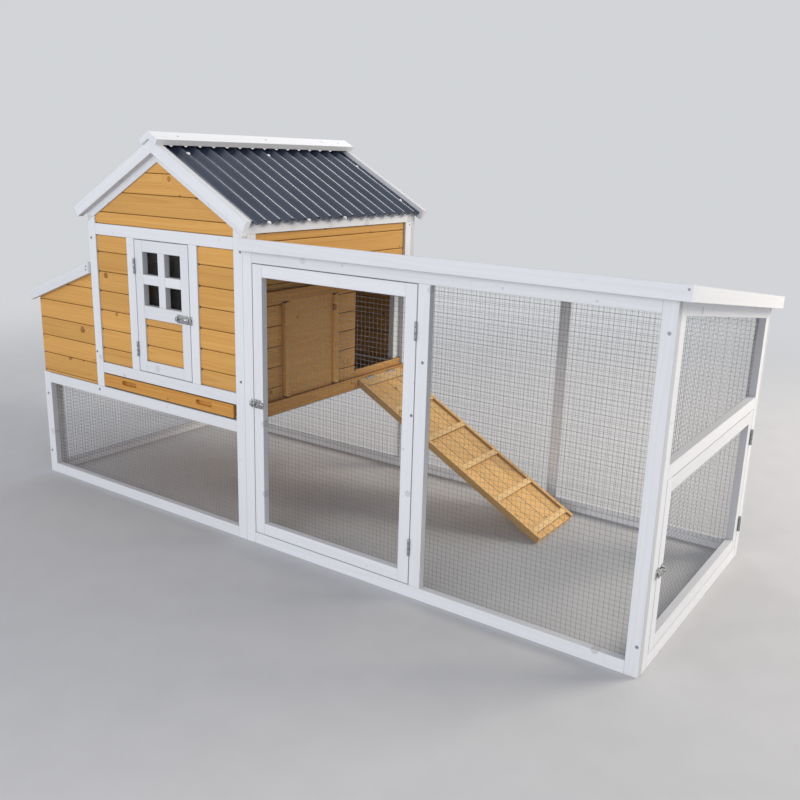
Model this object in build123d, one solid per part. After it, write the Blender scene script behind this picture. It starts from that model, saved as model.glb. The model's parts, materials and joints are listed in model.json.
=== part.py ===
from build123d import *
import math
import os

os.makedirs("parts", exist_ok=True)

# A wooden chicken coop: a raised house with a nest box and gable roof, and a mesh run beside it.
# While modelling, x runs along the front from the left end of the base, y runs from the front face
# to the back and z is up from the ground. The pieces are written about the middle of the footprint.
# All sizes are in millimetres and all angles in degrees.

# Overall sizes
BASE_LENGTH = 2200.0
DEPTH = 856.0
BASE_TOP = 370.0
HOUSE_LEFT = 298.0
HOUSE_RIGHT = 975.0
RUN_TOP = 874.0
DOOR_GAP = 2.0

# Timber and boards
WIDE = 35.0
THICK = 20.0
BOARD_THICK = 8.0
BOARD_SETBACK = 8.0
FRONT_SETBACK = 4.5
BOARD_PITCH = 62.5
FRONT_JOINT = 440.5
RIGHT_JOINT = 449.0
SHORTEST_BOARD = 8.0
BOARD_BEVEL = 2.5

# House front
TRAY_SLOT_TOP = 419.0
DOOR_HALF_OPENING = 120.5
TIE_BOTTOM = 869.0
RAFTER_LOW_APEX = 1098.0
RAFTER_TOP_APEX = 1138.0
BARGE_TOP_APEX = 1163.4
ROOF_ANGLE = 29.3
BARGE_REACH = 376.7
EAVE_REACH = 355.0
RIDGE_BOARD_WIDE = 46.0
RIDGE_BOARD_THICK = 18.0
RIDGE_OVERHANG = 28.0
RIDGE_BEAM_BOTTOM = 1085.0
SHEET_GAP = 2.0

# Corrugated sheet
ROOF_WAVE = 14.0
RUN_ROOF_WAVE = 9.0
SHEET_THICK = 1.5
ROOF_WAVES = 15
RUN_ROOF_WAVES = 21

# House door
MUNTIN = 30.0
PANE_ROW_BOTTOM = 667.0
MUNTIN_BOTTOM = 733.0
MID_RAIL_BOTTOM = 627.0
DOOR_JOINT = 541.0
WINDOW_THICK = 2.5
WINDOW_LAP = 8.0

# Droppings tray
TRAY_BOTTOM = 375.0
TRAY_TOP = 416.0
TRAY_LEFT = 334.5
TRAY_RIGHT = 927.0
TRAY_FRONT_THICK = 12.0
TRAY_FLOOR_THICK = 6.0
TRAY_WALL_THICK = 10.0
TRAY_WALL_TOP = 405.0
TRAY_PAN_INSET = 6.0
TRAY_PAN_BACK = 815.0
TRAY_SLOT_OFFSET = 172.0
TRAY_SLOT_HEIGHT_ABOVE_GROUND = 398.0
TRAY_SLOT_LONG = 70.0
TRAY_SLOT_TALL = 15.0
RUNNER_LEFT = (333.0, 352.0)
RUNNER_RIGHT = (910.0, 955.0)
RUNNER_BOTTOM = 356.0
RUNNER_TOP = 374.6
JOIST_BOTTOM = 347.0

# Side walls of the house
WALL_TOP = 948.0
HEADER_BOTTOM = 770.0
POP_HOLE_NEAR = 532.0
POP_HOLE_FAR = 766.0
POP_HOLE_BOTTOM = 432.0
POP_HOLE_COURSES = 4
POP_STUD_NEAR = 500.0

# Sliding pop door, seen open
POP_DOOR_NEAR = 167.0
POP_DOOR_WIDE = 257.0
POP_DOOR_BOTTOM = 406.0
POP_DOOR_TOP = 722.0
POP_DOOR_THICK = 6.0
POP_DOOR_PLAY = 1.0
BATTEN_WIDE = 22.0
BATTEN_THICK = 10.0
SILL_BOTTOM = 372.0
SILL_TOP = 412.0
SILL_THICK = 12.0
GUIDE_LIP_BOTTOM = 710.0
GUIDE_SHELF = 724.0
GUIDE_TOP = 744.0
GUIDE_LIP_THICK = 8.0
GUIDE_END_GAP = 5.0
BATTEN_END_GAP = 2.0

# Perch
PERCH_WIDE = 40.0
PERCH_TALL = 30.0
PERCH_ROUND = 8.0
PERCH_SEAT = 782.0
BRACKET_HALF = 32.0
BRACKET_BOTTOM = 770.0
BRACKET_TOP = 800.0
BRACKET_THICK = 18.0
PERCH_END_GAP = 1.0
PERCH_SIDE_GAP = 0.2

# Nest box and lid
NEST_SETBACK = 6.0
LID_TOP_AT_WALL = 777.0
LID_ANGLE = 20.4
LID_TIP = -39.0
LID_WALL_GAP = 2.0
LID_SEAT_GAP = 0.5
LID_DECK_THICK = 18.0
LID_COVER_THICK = 2.5
LID_EDGE_FRONT = -10.0
LID_EDGE_THICK = 14.0
LID_COVER_START = 30.0
NEST_FLOOR_THICK = 8.0
NEST_DIVIDER_THICK = 10.0
NEST_COUNT = 3
NEST_DIVIDER_TOP = 600.0

# Run
RUN_DOOR_LEFT = 1010.0
RUN_DOOR_RIGHT = 1564.0
RUN_SLOPE = 0.137
END_MID_RAIL = 466.0
PURLIN_TALL = 16.0
LEDGER_WIDE = 15.0
RUN_OVERHANG = 29.0
FASCIA_DROP = 5.0
FASCIA_RISE = 30.0
RUN_SHEET_BACK = 870.0

# Wire mesh, drawn at a coarse pitch
MESH_PITCH = 60.0
MESH_WIRE = 1.2
MESH_LAP = 12.0

# Ramp
RAMP_NEAR = 524.0
RAMP_FAR = 772.0
RAMP_AXIS_HEIGHT = 401.0
RAMP_AXIS_DEPTH = 1.2
RAMP_FOOT = 1684.0
RAMP_END_GAP = 2.0
RAMP_PLANKS = 4
RAMP_PLANK_THICK = 13.0
RAMP_PLANK_GAP = 1.0
RAMP_TOP_BOARD = 34.0
RAMP_RAIL_WIDE = 15.0
RAMP_CLEATS = 5
RAMP_CLEAT_THICK = 8.0
RAMP_CLEAT_WIDE = 22.0
RAMP_CLEAT_PITCH = 151.0
RAMP_FIRST_CLEAT = 154.0
RAMP_MORTISE_ROOM = 2.0

# Hinges
LEAF_LONG = 46.0
LEAF_REACH = 20.0
KNUCKLE_R = 3.6
PIN_R = 2.0
BORE_R = 2.25
HINGE_SIDES = 8
PIN_PROUD = 1.0
KNUCKLE_GAP = 0.4
KNUCKLE_WALL = 2.5
GAP_LEAF = (0.3, 1.0)
FACE_LEAF = (3.8, 4.6)
AXIS_PROUD = 4.0
HOUSE_HINGES = (786.0, 526.0)
RUN_HINGES = (722.0, 145.0)
END_HINGES = (382.0, 113.0)
LID_HINGES = (190.0, 666.0)
RAMP_HINGES = (588.0, 708.0)

# Sliding bolts, drawn back
HOUSE_BOLT_PLATE = 54.0
RUN_BOLT_PLATE = 33.0
BOLT_HEIGHT_HOUSE = 644.0
BOLT_HEIGHT_RUN = 437.0
BOLT_HEIGHT_END = 243.0
BOLT_HALF = 4.0
BOLT_LOW = 2.2
BOLT_HIGH = 6.2
BOLT_ROOM = 0.3
BOLT_TIP = -1.0
BOLT_TAIL = 4.0
BOLT_EDGE_GAP = 1.0
KNOB_R = 2.5
KNOB_TALL = 15.0
KNOB_START = 23.0
PLATE_HALF = 13.0
PLATE_THICK = 1.2
STAPLE_LONG = 6.0
STAPLE_HALF = 7.0
STAPLE_TALL = 8.5
KEEPER_START = 4.5
KEEPER_END = 11.5
KEEPER_ROOM = 0.6

# Worked-out values
HOUSE_MIDDLE = (HOUSE_LEFT + HOUSE_RIGHT) / 2
ROOF_TAN = math.tan(math.radians(ROOF_ANGLE))
ROOF_SIN = math.sin(math.radians(ROOF_ANGLE))
ROOF_COS = math.cos(math.radians(ROOF_ANGLE))
LID_TAN = math.tan(math.radians(LID_ANGLE))
LID_SIN = math.sin(math.radians(LID_ANGLE))
LID_COS = math.cos(math.radians(LID_ANGLE))
RUN_COS = 1 / math.hypot(1, RUN_SLOPE)
RUN_RIGHT = BASE_LENGTH + RUN_OVERHANG
FASCIA_LEFT = RUN_RIGHT - THICK
CENTRE = ((LID_TIP + RUN_RIGHT) / 2, DEPTH / 2)
FRONT = (0.0, THICK)
BACK = (DEPTH - THICK, DEPTH)
SIDE = (THICK, DEPTH - THICK)
BAY = (THICK + WIDE, DEPTH - THICK - WIDE)
POST_INNER_LEFT = HOUSE_LEFT + WIDE
POST_INNER_RIGHT = HOUSE_RIGHT - WIDE
JAMB_LEFT = HOUSE_MIDDLE - DOOR_HALF_OPENING
JAMB_RIGHT = HOUSE_MIDDLE + DOOR_HALF_OPENING
FRONT_SILL_TOP = TRAY_SLOT_TOP + WIDE
SIDING_RIGHT = HOUSE_RIGHT - BOARD_SETBACK
POP_HOLE_TOP = RIGHT_JOINT + POP_HOLE_COURSES * BOARD_PITCH
LID_AXIS_X = HOUSE_LEFT - FACE_LEAF[1]


def roof_line(apex, x):
    """Height of a line parallel to the roof slope, given its height above the middle of the house."""
    return apex - abs(x - HOUSE_MIDDLE) * ROOF_TAN


def run_line(y, rise=0.0):
    """Height of the run's sloping top at depth y, with an optional rise above it."""
    return RUN_TOP - y * RUN_SLOPE + rise


def lid_line(x, drop=0.0):
    """Height of the lid's upper face at x, or of a plane that lies the given drop below it."""
    return LID_TOP_AT_WALL - (HOUSE_LEFT - x) * LID_TAN - drop / LID_COS


def bar(x, y, z):
    """A square-cut timber or sheet, given its two limits along each axis."""
    size = [high - low for low, high in (x, y, z)]
    middle = [(high + low) / 2 for low, high in (x, y, z)]
    return Pos(*middle) * Box(*size)


def prism(points, direction):
    """A straight prism on a flat outline."""
    return Solid.extrude(Face(Wire.make_polygon(points)), direction)


def prism_along_y(outline, y):
    """A prism on an outline of (x, z) points, between two depths."""
    return prism([(px, y[0], pz) for px, pz in outline], (0, y[1] - y[0], 0))


def prism_along_x(outline, x):
    """A prism on an outline of (y, z) points, between two places along the front."""
    return prism([(x[0], py, pz) for py, pz in outline], (x[1] - x[0], 0, 0))


def courses(low, high, joint):
    """Heights of the siding boards between two levels, with one joint at the given level."""
    steps = math.ceil((low + SHORTEST_BOARD - joint) / BOARD_PITCH)
    level = joint + steps * BOARD_PITCH
    joints = [low]
    while level < high - SHORTEST_BOARD:
        joints.append(level)
        level += BOARD_PITCH
    joints.append(high)
    return list(zip(joints, joints[1:]))


def board_outline(face, back, low, high):
    """Section of a siding board whose outer edges are bevelled, so that two boards meet in a V."""
    inward = math.copysign(BOARD_BEVEL, back - face)
    return [
        (back, low),
        (face + inward, low),
        (face, low + BOARD_BEVEL),
        (face, high - BOARD_BEVEL),
        (face + inward, high),
        (back, high),
    ]


def boards_along_x(x, z, face, back, joint):
    """Siding boards that run along the front or the back."""
    return [prism_along_x(board_outline(face, back, *course), x) for course in courses(*z, joint)]


def boards_along_y(y, z, face, back, joint):
    """Siding boards that run from the front to the back."""
    return [prism_along_y(board_outline(face, back, *course), y) for course in courses(*z, joint)]


def clip(boards, limit):
    """What is left of each board inside a limiting solid."""
    return [piece for board in boards for piece in (board & limit).solids()]


def mesh(low_start, low_end, heights, inward):
    """A sheet of welded wire on a level lower edge, with its height at the start and at the end of it.

    The uprights lie against the frame and the cross wires lie on the uprights, further inward.
    """
    origin = Vector(*low_start)
    along = Vector(*low_end) - origin
    width = along.length
    along = along.normalized()
    layer = Vector(*inward) * MESH_WIRE
    columns = round(width / MESH_PITCH)
    rows = round(max(heights) / MESH_PITCH)
    step_along = (width - MESH_WIRE) / columns
    step_up = (max(heights) - MESH_WIRE) / rows
    fall = heights[0] - heights[1]

    def top(distance):
        return heights[0] - fall * distance / width

    def reach(level):
        if level <= min(heights):
            return width
        return width * (heights[0] - level) / fall

    def wire(outline, depth):
        start = origin + layer * depth
        points = [start + along * distance + Vector(0, 0, level) for distance, level in outline]
        return prism(points, layer)

    wires = []
    for column in range(columns + 1):
        near = column * step_along
        far = near + MESH_WIRE
        wires.append(wire([(near, 0), (far, 0), (far, top(far)), (near, top(near))], 0))
    for row in range(rows + 1):
        low = row * step_up
        high = low + MESH_WIRE
        end = reach(high)
        if end > MESH_PITCH:
            wires.append(wire([(0, low), (end, low), (end, high), (0, high)], 1))
    return wires


def mesh_along_x(x, z, y, inward):
    """A rectangle of mesh that faces the front or the back, fixed to a frame's inner face at y."""
    height = z[1] - z[0]
    return mesh((x[0], y, z[0]), (x[1], y, z[0]), (height, height), (0, inward, 0))


def mesh_along_y(y, z, x, inward):
    """A rectangle of mesh that faces a side, fixed to a frame's inner face at x."""
    height = z[1] - z[0]
    return mesh((x, y[0], z[0]), (x, y[1], z[0]), (height, height), (inward, 0, 0))


def lapped(low, high):
    """Limits of a mesh sheet that laps onto the frame round an opening."""
    return (low - MESH_LAP, high + MESH_LAP)


def frame_along_x(x, z, y):
    """Four timbers round a rectangle that faces the front: full stiles, rails between them."""
    inner = (x[0] + WIDE, x[1] - WIDE)
    return [
        bar((x[0], inner[0]), y, z),
        bar((inner[1], x[1]), y, z),
        bar(inner, y, (z[0], z[0] + WIDE)),
        bar(inner, y, (z[1] - WIDE, z[1])),
    ]


def frame_along_y(y, z, x):
    """Four timbers round a rectangle that faces the side: full stiles, rails between them."""
    inner = (y[0] + WIDE, y[1] - WIDE)
    return [
        bar(x, (y[0], inner[0]), z),
        bar(x, (inner[1], y[1]), z),
        bar(x, inner, (z[0], z[0] + WIDE)),
        bar(x, inner, (z[1] - WIDE, z[1])),
    ]


def corrugated(place, along, across, waves, height):
    """A wavy sheet: arcs across the local y, drawn along the local x, with its troughs on the local plane."""
    quarter = (across[1] - across[0]) / waves / 4
    middle = height / 2

    def wave(lift):
        arcs = []
        for half in range(2 * waves):
            start = across[0] + 2 * half * quarter
            turn = height if half % 2 == 0 else 0.0
            arcs.append(
                Edge.make_three_point_arc(
                    (along[0], start, middle + lift),
                    (along[0], start + quarter, turn + lift),
                    (along[0], start + 2 * quarter, middle + lift),
                )
            )
        return arcs

    ends = [
        Edge.make_line((along[0], side, middle), (along[0], side, middle + SHEET_THICK)) for side in across
    ]
    section = Face(Wire.combine(wave(0.0) + wave(SHEET_THICK) + ends)[0])
    return place * Solid.extrude(section, (along[1] - along[0], 0, 0))


# Base under the house


def base_wall(y):
    """Front or back frame of the base; the house's right post closes its right end."""
    return [
        bar((0, WIDE), y, (0, BASE_TOP)),
        bar((WIDE, POST_INNER_RIGHT), y, (0, WIDE)),
        bar((WIDE, POST_INNER_RIGHT), y, (BASE_TOP - WIDE, BASE_TOP)),
    ]


def base_mesh(y, inward):
    """Mesh on the inner face of the front or back base frame."""
    return mesh_along_x(lapped(WIDE, POST_INNER_RIGHT), lapped(WIDE, BASE_TOP - WIDE), y, inward)


def base_left_mesh():
    """Mesh on the inner face of the left base frame."""
    return mesh_along_y(lapped(*BAY), lapped(WIDE, BASE_TOP - WIDE), THICK, 1)


def floor_joists():
    """Joist under the left house wall and the two runners that carry the tray."""
    return [
        bar((HOUSE_LEFT, POST_INNER_LEFT), SIDE, (JOIST_BOTTOM, BASE_TOP)),
        bar(RUNNER_LEFT, SIDE, (RUNNER_BOTTOM, RUNNER_TOP)),
        bar(RUNNER_RIGHT, SIDE, (RUNNER_BOTTOM, RUNNER_TOP)),
    ]


# House walls


def gable_frame(y):
    """Posts, rafters and tie beam of the front or back wall of the house."""
    left = [
        (HOUSE_LEFT, BASE_TOP),
        (POST_INNER_LEFT, BASE_TOP),
        (POST_INNER_LEFT, roof_line(RAFTER_LOW_APEX, POST_INNER_LEFT)),
        (HOUSE_LEFT, roof_line(RAFTER_LOW_APEX, HOUSE_LEFT)),
    ]
    right = [
        (POST_INNER_RIGHT, 0),
        (HOUSE_RIGHT, 0),
        (HOUSE_RIGHT, roof_line(RAFTER_LOW_APEX, HOUSE_RIGHT)),
        (POST_INNER_RIGHT, roof_line(RAFTER_LOW_APEX, POST_INNER_RIGHT)),
    ]
    rafters = [
        [
            (outer, roof_line(RAFTER_LOW_APEX, outer)),
            (HOUSE_MIDDLE, RAFTER_LOW_APEX),
            (HOUSE_MIDDLE, RAFTER_TOP_APEX),
            (outer, roof_line(RAFTER_TOP_APEX, outer)),
        ]
        for outer in (HOUSE_LEFT, HOUSE_RIGHT)
    ]
    tie = bar((POST_INNER_LEFT, POST_INNER_RIGHT), y, (TIE_BOTTOM, TIE_BOTTOM + WIDE))
    return [prism_along_y(outline, y) for outline in (left, right, *rafters)] + [tie]


def house_front_frame():
    """Gable frame with a rail above the tray slot and a jamb on each side of the door."""
    rail = bar((POST_INNER_LEFT, POST_INNER_RIGHT), FRONT, (TRAY_SLOT_TOP, FRONT_SILL_TOP))
    jambs = [
        bar((JAMB_LEFT - WIDE, JAMB_LEFT), FRONT, (FRONT_SILL_TOP, TIE_BOTTOM)),
        bar((JAMB_RIGHT, JAMB_RIGHT + WIDE), FRONT, (FRONT_SILL_TOP, TIE_BOTTOM)),
    ]
    return gable_frame(FRONT) + [rail] + jambs


def house_back_frame():
    """Gable frame with a bottom rail on the base."""
    rail = bar((POST_INNER_LEFT, POST_INNER_RIGHT), BACK, (BASE_TOP, BASE_TOP + WIDE))
    return gable_frame(BACK) + [rail]


def gable_boards(face, back):
    """Siding boards above the tie beam, cut to the rafters."""
    bottom = TIE_BOTTOM + WIDE
    triangle = [
        (POST_INNER_LEFT, bottom),
        (POST_INNER_RIGHT, bottom),
        (POST_INNER_RIGHT, roof_line(RAFTER_LOW_APEX, POST_INNER_RIGHT)),
        (HOUSE_MIDDLE, RAFTER_LOW_APEX),
        (POST_INNER_LEFT, roof_line(RAFTER_LOW_APEX, POST_INNER_LEFT)),
    ]
    boards = boards_along_x(
        (POST_INNER_LEFT, POST_INNER_RIGHT), (bottom, RAFTER_LOW_APEX), face, back, FRONT_JOINT
    )
    return clip(boards, prism_along_y(triangle, sorted((face, back))))


def house_front_siding():
    """Boards on each side of the door and in the gable."""
    face = FRONT_SETBACK
    back = face + BOARD_THICK
    height = (FRONT_SILL_TOP, TIE_BOTTOM)
    left = boards_along_x((POST_INNER_LEFT, JAMB_LEFT - WIDE), height, face, back, FRONT_JOINT)
    right = boards_along_x((JAMB_RIGHT + WIDE, POST_INNER_RIGHT), height, face, back, FRONT_JOINT)
    return left + right + gable_boards(face, back)


def house_back_siding():
    """Boards of the closed back wall and its gable."""
    face = DEPTH - FRONT_SETBACK
    back = face - BOARD_THICK
    height = (BASE_TOP + WIDE, TIE_BOTTOM)
    wall = boards_along_x((POST_INNER_LEFT, POST_INNER_RIGHT), height, face, back, FRONT_JOINT)
    return wall + gable_boards(face, back)


def top_plate(outer, inner):
    """Plate along the top of a side wall, bevelled to the roof slope."""
    outline = [
        (outer, WALL_TOP - WIDE),
        (inner, WALL_TOP - WIDE),
        (inner, roof_line(RAFTER_TOP_APEX, inner)),
        (outer, roof_line(RAFTER_TOP_APEX, outer)),
    ]
    return prism_along_y(outline, SIDE)


def side_stiles(x):
    """The front and back stile of a side wall."""
    z = (BASE_TOP, WALL_TOP - WIDE)
    return [bar(x, (SIDE[0], BAY[0]), z), bar(x, (BAY[1], SIDE[1]), z)]


def house_left_frame():
    """Left wall frame: open to the nest box below the header that carries the lid hinges."""
    x = (HOUSE_LEFT, HOUSE_LEFT + THICK)
    rails = [
        bar(x, BAY, (BASE_TOP, BASE_TOP + WIDE)),
        bar(x, BAY, (HEADER_BOTTOM, HEADER_BOTTOM + WIDE)),
    ]
    return side_stiles(x) + rails + [top_plate(HOUSE_LEFT, HOUSE_LEFT + THICK)]


def house_left_siding():
    """Boards above the nest lid."""
    face = HOUSE_LEFT + BOARD_SETBACK
    return boards_along_y(
        BAY, (HEADER_BOTTOM + WIDE, WALL_TOP - WIDE), face, face + BOARD_THICK, FRONT_JOINT
    )


def house_right_frame():
    """Right wall frame, with a stud behind the boards on each side of the pop hole."""
    x = (HOUSE_RIGHT - THICK, HOUSE_RIGHT)
    stud_face = SIDING_RIGHT - BOARD_THICK
    stud_x = (stud_face - THICK, stud_face)
    stud_z = (BASE_TOP + WIDE, WALL_TOP - WIDE)
    studs = [
        bar(stud_x, (POP_STUD_NEAR, POP_HOLE_NEAR), stud_z),
        bar(stud_x, (POP_HOLE_FAR, BAY[1]), stud_z),
    ]
    return side_stiles(x) + studs + [top_plate(HOUSE_RIGHT, HOUSE_RIGHT - THICK)]


def house_right_siding():
    """Boards of the wall between house and run, stopped short at the pop hole."""
    low = BASE_TOP + WIDE
    high = WALL_TOP - WIDE
    face = SIDING_RIGHT
    back = face - BOARD_THICK
    beside = boards_along_y((BAY[0], POP_HOLE_NEAR), (low, POP_HOLE_TOP), face, back, RIGHT_JOINT)
    below = boards_along_y((POP_HOLE_NEAR, BAY[1]), (low, POP_HOLE_BOTTOM), face, back, RIGHT_JOINT)
    above = boards_along_y(BAY, (POP_HOLE_TOP, high), face, back, RIGHT_JOINT)
    return beside + below + above


def pop_door_guides():
    """Bottom rail of the wall, the sill strip on it and the grooved guide above the pop door."""
    along = (BAY[0] + GUIDE_END_GAP, BAY[1] - GUIDE_END_GAP)
    rail = bar((HOUSE_RIGHT - THICK, HOUSE_RIGHT), BAY, (BASE_TOP, BASE_TOP + WIDE))
    sill = bar((HOUSE_RIGHT, HOUSE_RIGHT + SILL_THICK), along, (SILL_BOTTOM, SILL_TOP))
    lip = HOUSE_RIGHT + GUIDE_LIP_THICK
    guide = [
        (SIDING_RIGHT, GUIDE_SHELF),
        (HOUSE_RIGHT, GUIDE_SHELF),
        (HOUSE_RIGHT, GUIDE_LIP_BOTTOM),
        (lip, GUIDE_LIP_BOTTOM),
        (lip, GUIDE_TOP),
        (SIDING_RIGHT, GUIDE_TOP),
    ]
    return [rail, sill, prism_along_y(guide, along)]


def pop_door():
    """Flat sliding panel with a batten along each upright edge."""
    face = SIDING_RIGHT + POP_DOOR_PLAY + POP_DOOR_THICK
    far = POP_DOOR_NEAR + POP_DOOR_WIDE
    panel = bar((face - POP_DOOR_THICK, face), (POP_DOOR_NEAR, far), (POP_DOOR_BOTTOM, POP_DOOR_TOP))
    batten_x = (face, face + BATTEN_THICK)
    batten_z = (SILL_TOP + BATTEN_END_GAP, GUIDE_LIP_BOTTOM - BATTEN_END_GAP)
    battens = [
        bar(batten_x, (POP_DOOR_NEAR, POP_DOOR_NEAR + BATTEN_WIDE), batten_z),
        bar(batten_x, (far - BATTEN_WIDE, far), batten_z),
    ]
    return [panel] + battens


def perch():
    """Roosting bar from the left wall to the right wall, with rounded edges."""
    x = (HOUSE_LEFT + THICK + PERCH_END_GAP, SIDING_RIGHT - BOARD_THICK - PERCH_END_GAP)
    y = (DEPTH / 2 - PERCH_WIDE / 2, DEPTH / 2 + PERCH_WIDE / 2)
    blank = bar(x, y, (PERCH_SEAT, PERCH_SEAT + PERCH_TALL))
    return [fillet(blank.edges().filter_by(Axis.X), PERCH_ROUND)]


def perch_brackets():
    """A notched block on each wall that the perch drops into."""
    half = PERCH_WIDE / 2 + PERCH_SIDE_GAP
    left = HOUSE_LEFT + THICK
    right = SIDING_RIGHT - BOARD_THICK
    brackets = []
    for x in ((left, left + BRACKET_THICK), (right - BRACKET_THICK, right)):
        block = bar(x, (DEPTH / 2 - BRACKET_HALF, DEPTH / 2 + BRACKET_HALF), (BRACKET_BOTTOM, BRACKET_TOP))
        notch = bar(x, (DEPTH / 2 - half, DEPTH / 2 + half), (PERCH_SEAT, BRACKET_TOP))
        brackets.append(block - notch)
    return brackets


# House door


def house_door_frame():
    """Door with four window openings above a panel opening."""
    x = (JAMB_LEFT + DOOR_GAP, JAMB_RIGHT - DOOR_GAP)
    z = (FRONT_SILL_TOP + DOOR_GAP, TIE_BOTTOM - DOOR_GAP)
    inner = (x[0] + WIDE, x[1] - WIDE)
    muntin_x = (HOUSE_MIDDLE - MUNTIN / 2, HOUSE_MIDDLE + MUNTIN / 2)
    muntin_z = (MUNTIN_BOTTOM, MUNTIN_BOTTOM + MUNTIN)
    return frame_along_x(x, z, FRONT) + [
        bar(inner, FRONT, (MID_RAIL_BOTTOM, PANE_ROW_BOTTOM)),
        bar(muntin_x, FRONT, (PANE_ROW_BOTTOM, z[1] - WIDE)),
        bar((inner[0], muntin_x[0]), FRONT, muntin_z),
        bar((muntin_x[1], inner[1]), FRONT, muntin_z),
    ]


def house_door_inner():
    """Limits along the front of the openings in the house door."""
    return (JAMB_LEFT + DOOR_GAP + WIDE, JAMB_RIGHT - DOOR_GAP - WIDE)


def house_door_boards():
    """Siding boards of the door's lower panel."""
    z = (FRONT_SILL_TOP + DOOR_GAP + WIDE, MID_RAIL_BOTTOM)
    return boards_along_x(house_door_inner(), z, FRONT_SETBACK, FRONT_SETBACK + BOARD_THICK, DOOR_JOINT)


def house_door_window():
    """One clear pane fixed behind the window bars."""
    left, right = house_door_inner()
    top = TIE_BOTTOM - DOOR_GAP - WIDE
    x = (left - WINDOW_LAP, right + WINDOW_LAP)
    return [bar(x, (THICK, THICK + WINDOW_THICK), (PANE_ROW_BOTTOM - WINDOW_LAP, top + WINDOW_LAP))]


# Droppings tray


def tray_front():
    """Front board of the tray with two rounded hand slots."""
    board = bar((TRAY_LEFT, TRAY_RIGHT), (0, TRAY_FRONT_THICK), (TRAY_BOTTOM, TRAY_TOP))
    middle = (TRAY_LEFT + TRAY_RIGHT) / 2
    for side in (-1, 1):
        centre = (middle + side * TRAY_SLOT_OFFSET, 0, TRAY_SLOT_HEIGHT_ABOVE_GROUND)
        place = Plane(origin=centre, x_dir=(1, 0, 0), z_dir=(0, 1, 0))
        board -= place * extrude(SlotOverall(TRAY_SLOT_LONG, TRAY_SLOT_TALL), TRAY_FRONT_THICK)
    return [board]


def tray_pan():
    """Shallow tray behind the front board: a floor and four low walls."""
    x = (TRAY_LEFT + TRAY_PAN_INSET, TRAY_RIGHT - TRAY_PAN_INSET)
    y = (TRAY_FRONT_THICK, TRAY_PAN_BACK)
    wall_z = (TRAY_BOTTOM + TRAY_FLOOR_THICK, TRAY_WALL_TOP)
    inner = (x[0] + TRAY_WALL_THICK, x[1] - TRAY_WALL_THICK)
    return [
        bar(x, y, (TRAY_BOTTOM, TRAY_BOTTOM + TRAY_FLOOR_THICK)),
        bar((x[0], inner[0]), y, wall_z),
        bar((inner[1], x[1]), y, wall_z),
        bar(inner, (y[0], y[0] + TRAY_WALL_THICK), wall_z),
        bar(inner, (y[1] - TRAY_WALL_THICK, y[1]), wall_z),
    ]


# Nest box


def nest_wall_top():
    """How far the tops of the nest walls lie below the lid's upper face."""
    return LID_DECK_THICK + LID_SEAT_GAP


def nest_box_siding():
    """Front, back and outer walls of the nest box, cut under the sloping lid."""
    drop = nest_wall_top()
    profile = [
        (0, BASE_TOP),
        (HOUSE_LEFT, BASE_TOP),
        (HOUSE_LEFT, lid_line(HOUSE_LEFT, drop)),
        (0, lid_line(0, drop)),
    ]
    limit = prism_along_y(profile, (0, DEPTH))
    height = (BASE_TOP, lid_line(HOUSE_LEFT, drop))
    near = NEST_SETBACK
    far = DEPTH - NEST_SETBACK
    front = boards_along_x((0, HOUSE_LEFT), height, near, near + BOARD_THICK, FRONT_JOINT)
    back = boards_along_x((0, HOUSE_LEFT), height, far, far - BOARD_THICK, FRONT_JOINT)
    outer_height = (BASE_TOP, lid_line(BOARD_THICK, drop))
    outer_y = (near + BOARD_THICK, far - BOARD_THICK)
    outer = boards_along_y(outer_y, outer_height, 0, BOARD_THICK, FRONT_JOINT)
    return clip(front + back + outer, limit)


def nest_inside():
    """Depth limits of the space inside the nest walls."""
    return (NEST_SETBACK + BOARD_THICK, DEPTH - NEST_SETBACK - BOARD_THICK)


def nest_box_floor():
    """Floor board of the nest box, on the top rails of the base."""
    return [bar((BOARD_THICK, HOUSE_LEFT), nest_inside(), (BASE_TOP, BASE_TOP + NEST_FLOOR_THICK))]


def nest_dividers():
    """Upright boards that part the nest box into equal nests."""
    near, far = nest_inside()
    step = (far - near) / NEST_COUNT
    z = (BASE_TOP + NEST_FLOOR_THICK, NEST_DIVIDER_TOP)
    half = NEST_DIVIDER_THICK / 2
    middles = [near + step * index for index in range(1, NEST_COUNT)]
    return [bar((BOARD_THICK, HOUSE_LEFT), (middle - half, middle + half), z) for middle in middles]


def lid_outline(top, bottom, right):
    """Outline of a lid layer between two drops below its upper face, square-cut at the tip."""
    corner = LID_TIP + LID_COVER_THICK * LID_SIN
    tip_top = corner + top * LID_SIN
    tip_bottom = corner + bottom * LID_SIN
    level = lid_line(corner)
    return [
        (right, lid_line(right, top)),
        (right, lid_line(right, bottom)),
        (tip_bottom, level - bottom * LID_COS),
        (tip_top, level - top * LID_COS),
    ]


def nest_lid_boards():
    """Deck and the two edge boards of the lid."""
    right = HOUSE_LEFT - LID_WALL_GAP
    near = (LID_EDGE_FRONT, LID_EDGE_FRONT + LID_EDGE_THICK)
    far = (DEPTH - near[1], DEPTH - near[0])
    deck = lid_outline(0, LID_DECK_THICK, right)
    edge = lid_outline(-LID_COVER_THICK, WIDE - LID_COVER_THICK, right)
    return [
        prism_along_y(deck, (near[1], far[0])),
        prism_along_y(edge, near),
        prism_along_y(edge, far),
    ]


def nest_lid_sheet():
    """Flat roofing sheet over the lid between its edge boards, clear of the hinges."""
    cover = lid_outline(-LID_COVER_THICK, 0, HOUSE_LEFT - LID_COVER_START)
    near = LID_EDGE_FRONT + LID_EDGE_THICK
    return [prism_along_y(cover, (near, DEPTH - near))]


# Roof of the house


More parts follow.
